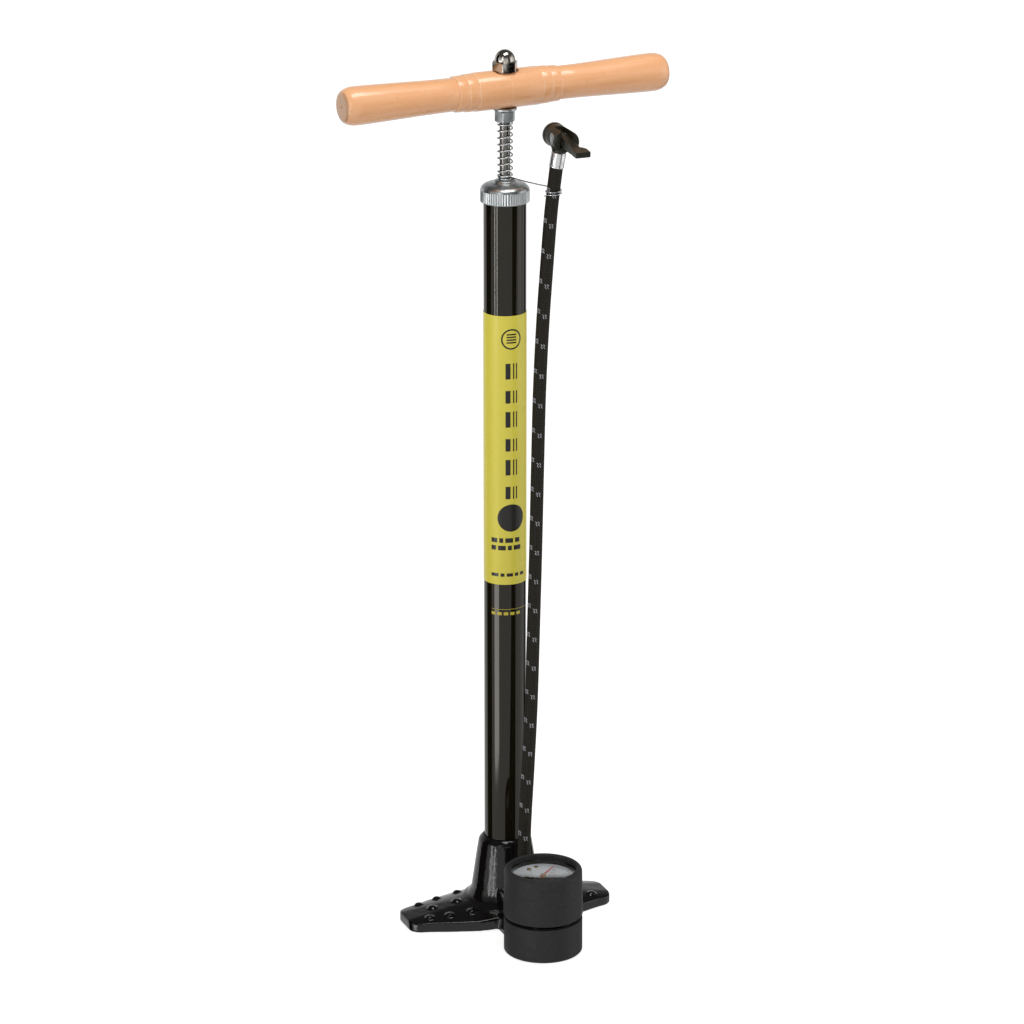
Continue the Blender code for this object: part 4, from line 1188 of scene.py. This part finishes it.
def add_chuck_small():
    """The rivet, the valve seal, its collar and the pusher behind it."""
    half = [(0, 0.0087), (0.0020, 0.0086), (0.0036, 0.0083), (0.0043, 0.0078),
            (0.0043, 0.0076), (0.0016, 0.0075)]
    rivet = half + [(r, -z) for r, z in reversed(half)]
    pin = put(lathe("rivet", rivet, ZINC, 64, cut=0.0002), PIN, TO_X)
    finished(pin, "pump", "zinc", "chuck_pin")
    inside = 0.0060
    seal = [(0.0040, -0.0038), (0.0046, -0.0033), (inside, -0.0033), (inside, -0.0095),
            (0.0040, -0.0095)]
    seal = put(lathe("seal", seal, RUBBER, 64, True, 0.0003), MOUTH_AT, TO_Y)
    finished(seal, "pump", "rubber", "chuck_seal")
    collar = [(0.0046, 0.0006), (inside, 0.0006), (inside, -0.0030), (0.0046, -0.0030)]

    def toothed(r, z, angle):
        return r + 0.0004 * (math.cos(12 * angle) > 0.2) if r < 0.005 and z > -0.002 else r

    collar = put(lathe("collar", collar, CHUCK_PLASTIC, 96, True, 0.0002, toothed), MOUTH_AT, TO_Y)
    finished(collar, "pump", "black_plastic", "chuck_collar")
    pusher = put(sleeve("pusher", 0.0012, inside, -0.0130, -0.0110, DARK_BRASS, 64), MOUTH_AT, TO_Y)
    finished(pusher, "plunger", "brass", "chuck_plunger")
    return [pin, seal, collar, pusher]


# ---- hidden parts
INSIDES = {
    "barrel_gasket": RUBBER, "rod_bush": NYLON, "piston_top_nut": ZINC, "piston_head": NYLON,
    "piston_ring": RUBBER, "piston_washer": ZINC, "piston_nut": ZINC, "valve_seat": BRASS,
    "valve_disc": RUBBER, "valve_spring": STEEL, "gauge_case": STEEL, "gauge_stem": BRASS,
    "bourdon_tube": BRASS, "gauge_movement": BRASS, "gauge_arbor": STEEL,
}


def finish_insides():
    """Better materials on hidden parts, and a mesh of its own for the valve spring."""
    for name, finish in INSIDES.items():
        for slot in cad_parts[name].material_slots:
            slot.material = finish
    shorten(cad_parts["valve_spring"])


# ---- studio
CARD_DISTANCE = 1.5
CARD_HEIGHT = 3.4
FLOOR_SIDE = 16.0


def aim(obj, target):
    obj.rotation_euler = (obj.location - Vector(target)).to_track_quat("Z", "Y").to_euler()


def softbox(name, at, target, width, height, radiance):
    """A rectangular lamp whose power gives this radiance, so that sizes can change freely."""
    data = bpy.data.lights.new(name, "AREA")
    data.shape = "RECTANGLE"
    data.size, data.size_y = width, height
    data.energy = radiance * math.pi * width * height
    lamp = linked(name, data)
    lamp.location = at
    aim(lamp, target)


def sheet(name, width, height, finish):
    x, y = width / 2, height / 2
    return piece(name, [(-x, -y, 0), (x, -y, 0), (x, y, 0), (-x, y, 0)], [[0, 1, 2, 3]], finish)


def black_card(name, angle, width):
    """A card that only reflections see, for dark edges on gloss and metal."""
    made = material(name, (0.0, 0.0, 0.0), 1.0, Specular_IOR_Level=0.0)
    card = sheet(name, width, CARD_HEIGHT, made)
    card.location = around(angle, CARD_DISTANCE)
    aim(card, (0, 0, 0))
    card.visible_camera = False
    card.visible_diffuse = False
    card.visible_shadow = False


def add_world():
    """White to the camera, even for diffuse light, and dark overhead in the reflections."""
    world = bpy.data.worlds.new("studio")
    world.use_nodes = True
    rays = node(world, "LightPath", {}).outputs
    direction = node(world, "TexCoord", {}).outputs["Generated"]
    rise = node(world, "SeparateXYZ", {"Vector": direction}).outputs["Z"]
    overhead = spread(world, rise, 0.12, 0.62)
    colour = blend_colours(world, overhead, (0.72, 0.72, 0.72), (0.07, 0.07, 0.07))
    colour = blend_colours(world, rays["Is Diffuse Ray"], colour, (0.70, 0.70, 0.70))
    colour = blend_colours(world, rays["Is Camera Ray"], colour, (1.0, 1.0, 1.0))
    world.node_tree.links.new(colour, world.node_tree.nodes["Background"].inputs["Color"])
    bpy.context.scene.world = world


def add_studio():
    add_world()
    centre = (0, 0, 0.33)
    softbox("key_strip", around(-47, 3.0, -0.90), (0, 0, -0.90), 1.44, 1.1, 3.6)
    for angle in (-55, -42):
        softbox("thin_strip", around(angle, 3.0, 0.10), (0, 0, 0.10), 0.10, 0.8, 16.0)
    softbox("key_edge", around(-26, 1.5, 1.25), (0, 0, 1.25), 0.34, 1.2, 1.8)
    softbox("overhead", (0.10, -0.35, 2.1), centre, 1.1, 0.60, 5.0)
    softbox("fill", around(84, 1.8, 0.6), centre, 0.8, 1.6, 0.5)
    black_card("card_left", -97, 1.0)
    black_card("card_right", 49, 0.55)
    black_card("card_edge", 134, 0.5)
    floor = sheet("floor", FLOOR_SIDE, FLOOR_SIDE, floor_paint())
    floor.location.z = -0.0001
    floor.visible_glossy = False
    settings = bpy.context.scene.view_settings
    settings.view_transform = "Standard"
    settings.look = "None"


# ---- build
add_camera()
HOSE, FLECKS, HOSE_PATH = add_hose()
UPPER_FERRULE = add_ferrules()
CHUCK_PIECES = [add_chuck_body(), add_lever()] + add_chuck_small()
add_barrel()
add_print("label_print", label_marks(), LABEL_R, BLACK_INK, "black_paint")
add_print("barrel_print", barrel_marks(), BARREL_R, YELLOW_INK, "label")
add_cap()
add_handle()
add_acorn_nut()
add_rod()
add_spring()
add_fitting()
add_clip()
add_base()
add_gauge_shell()
add_dial()
add_needle()
add_gauge_trim()
finish_insides()
add_studio()
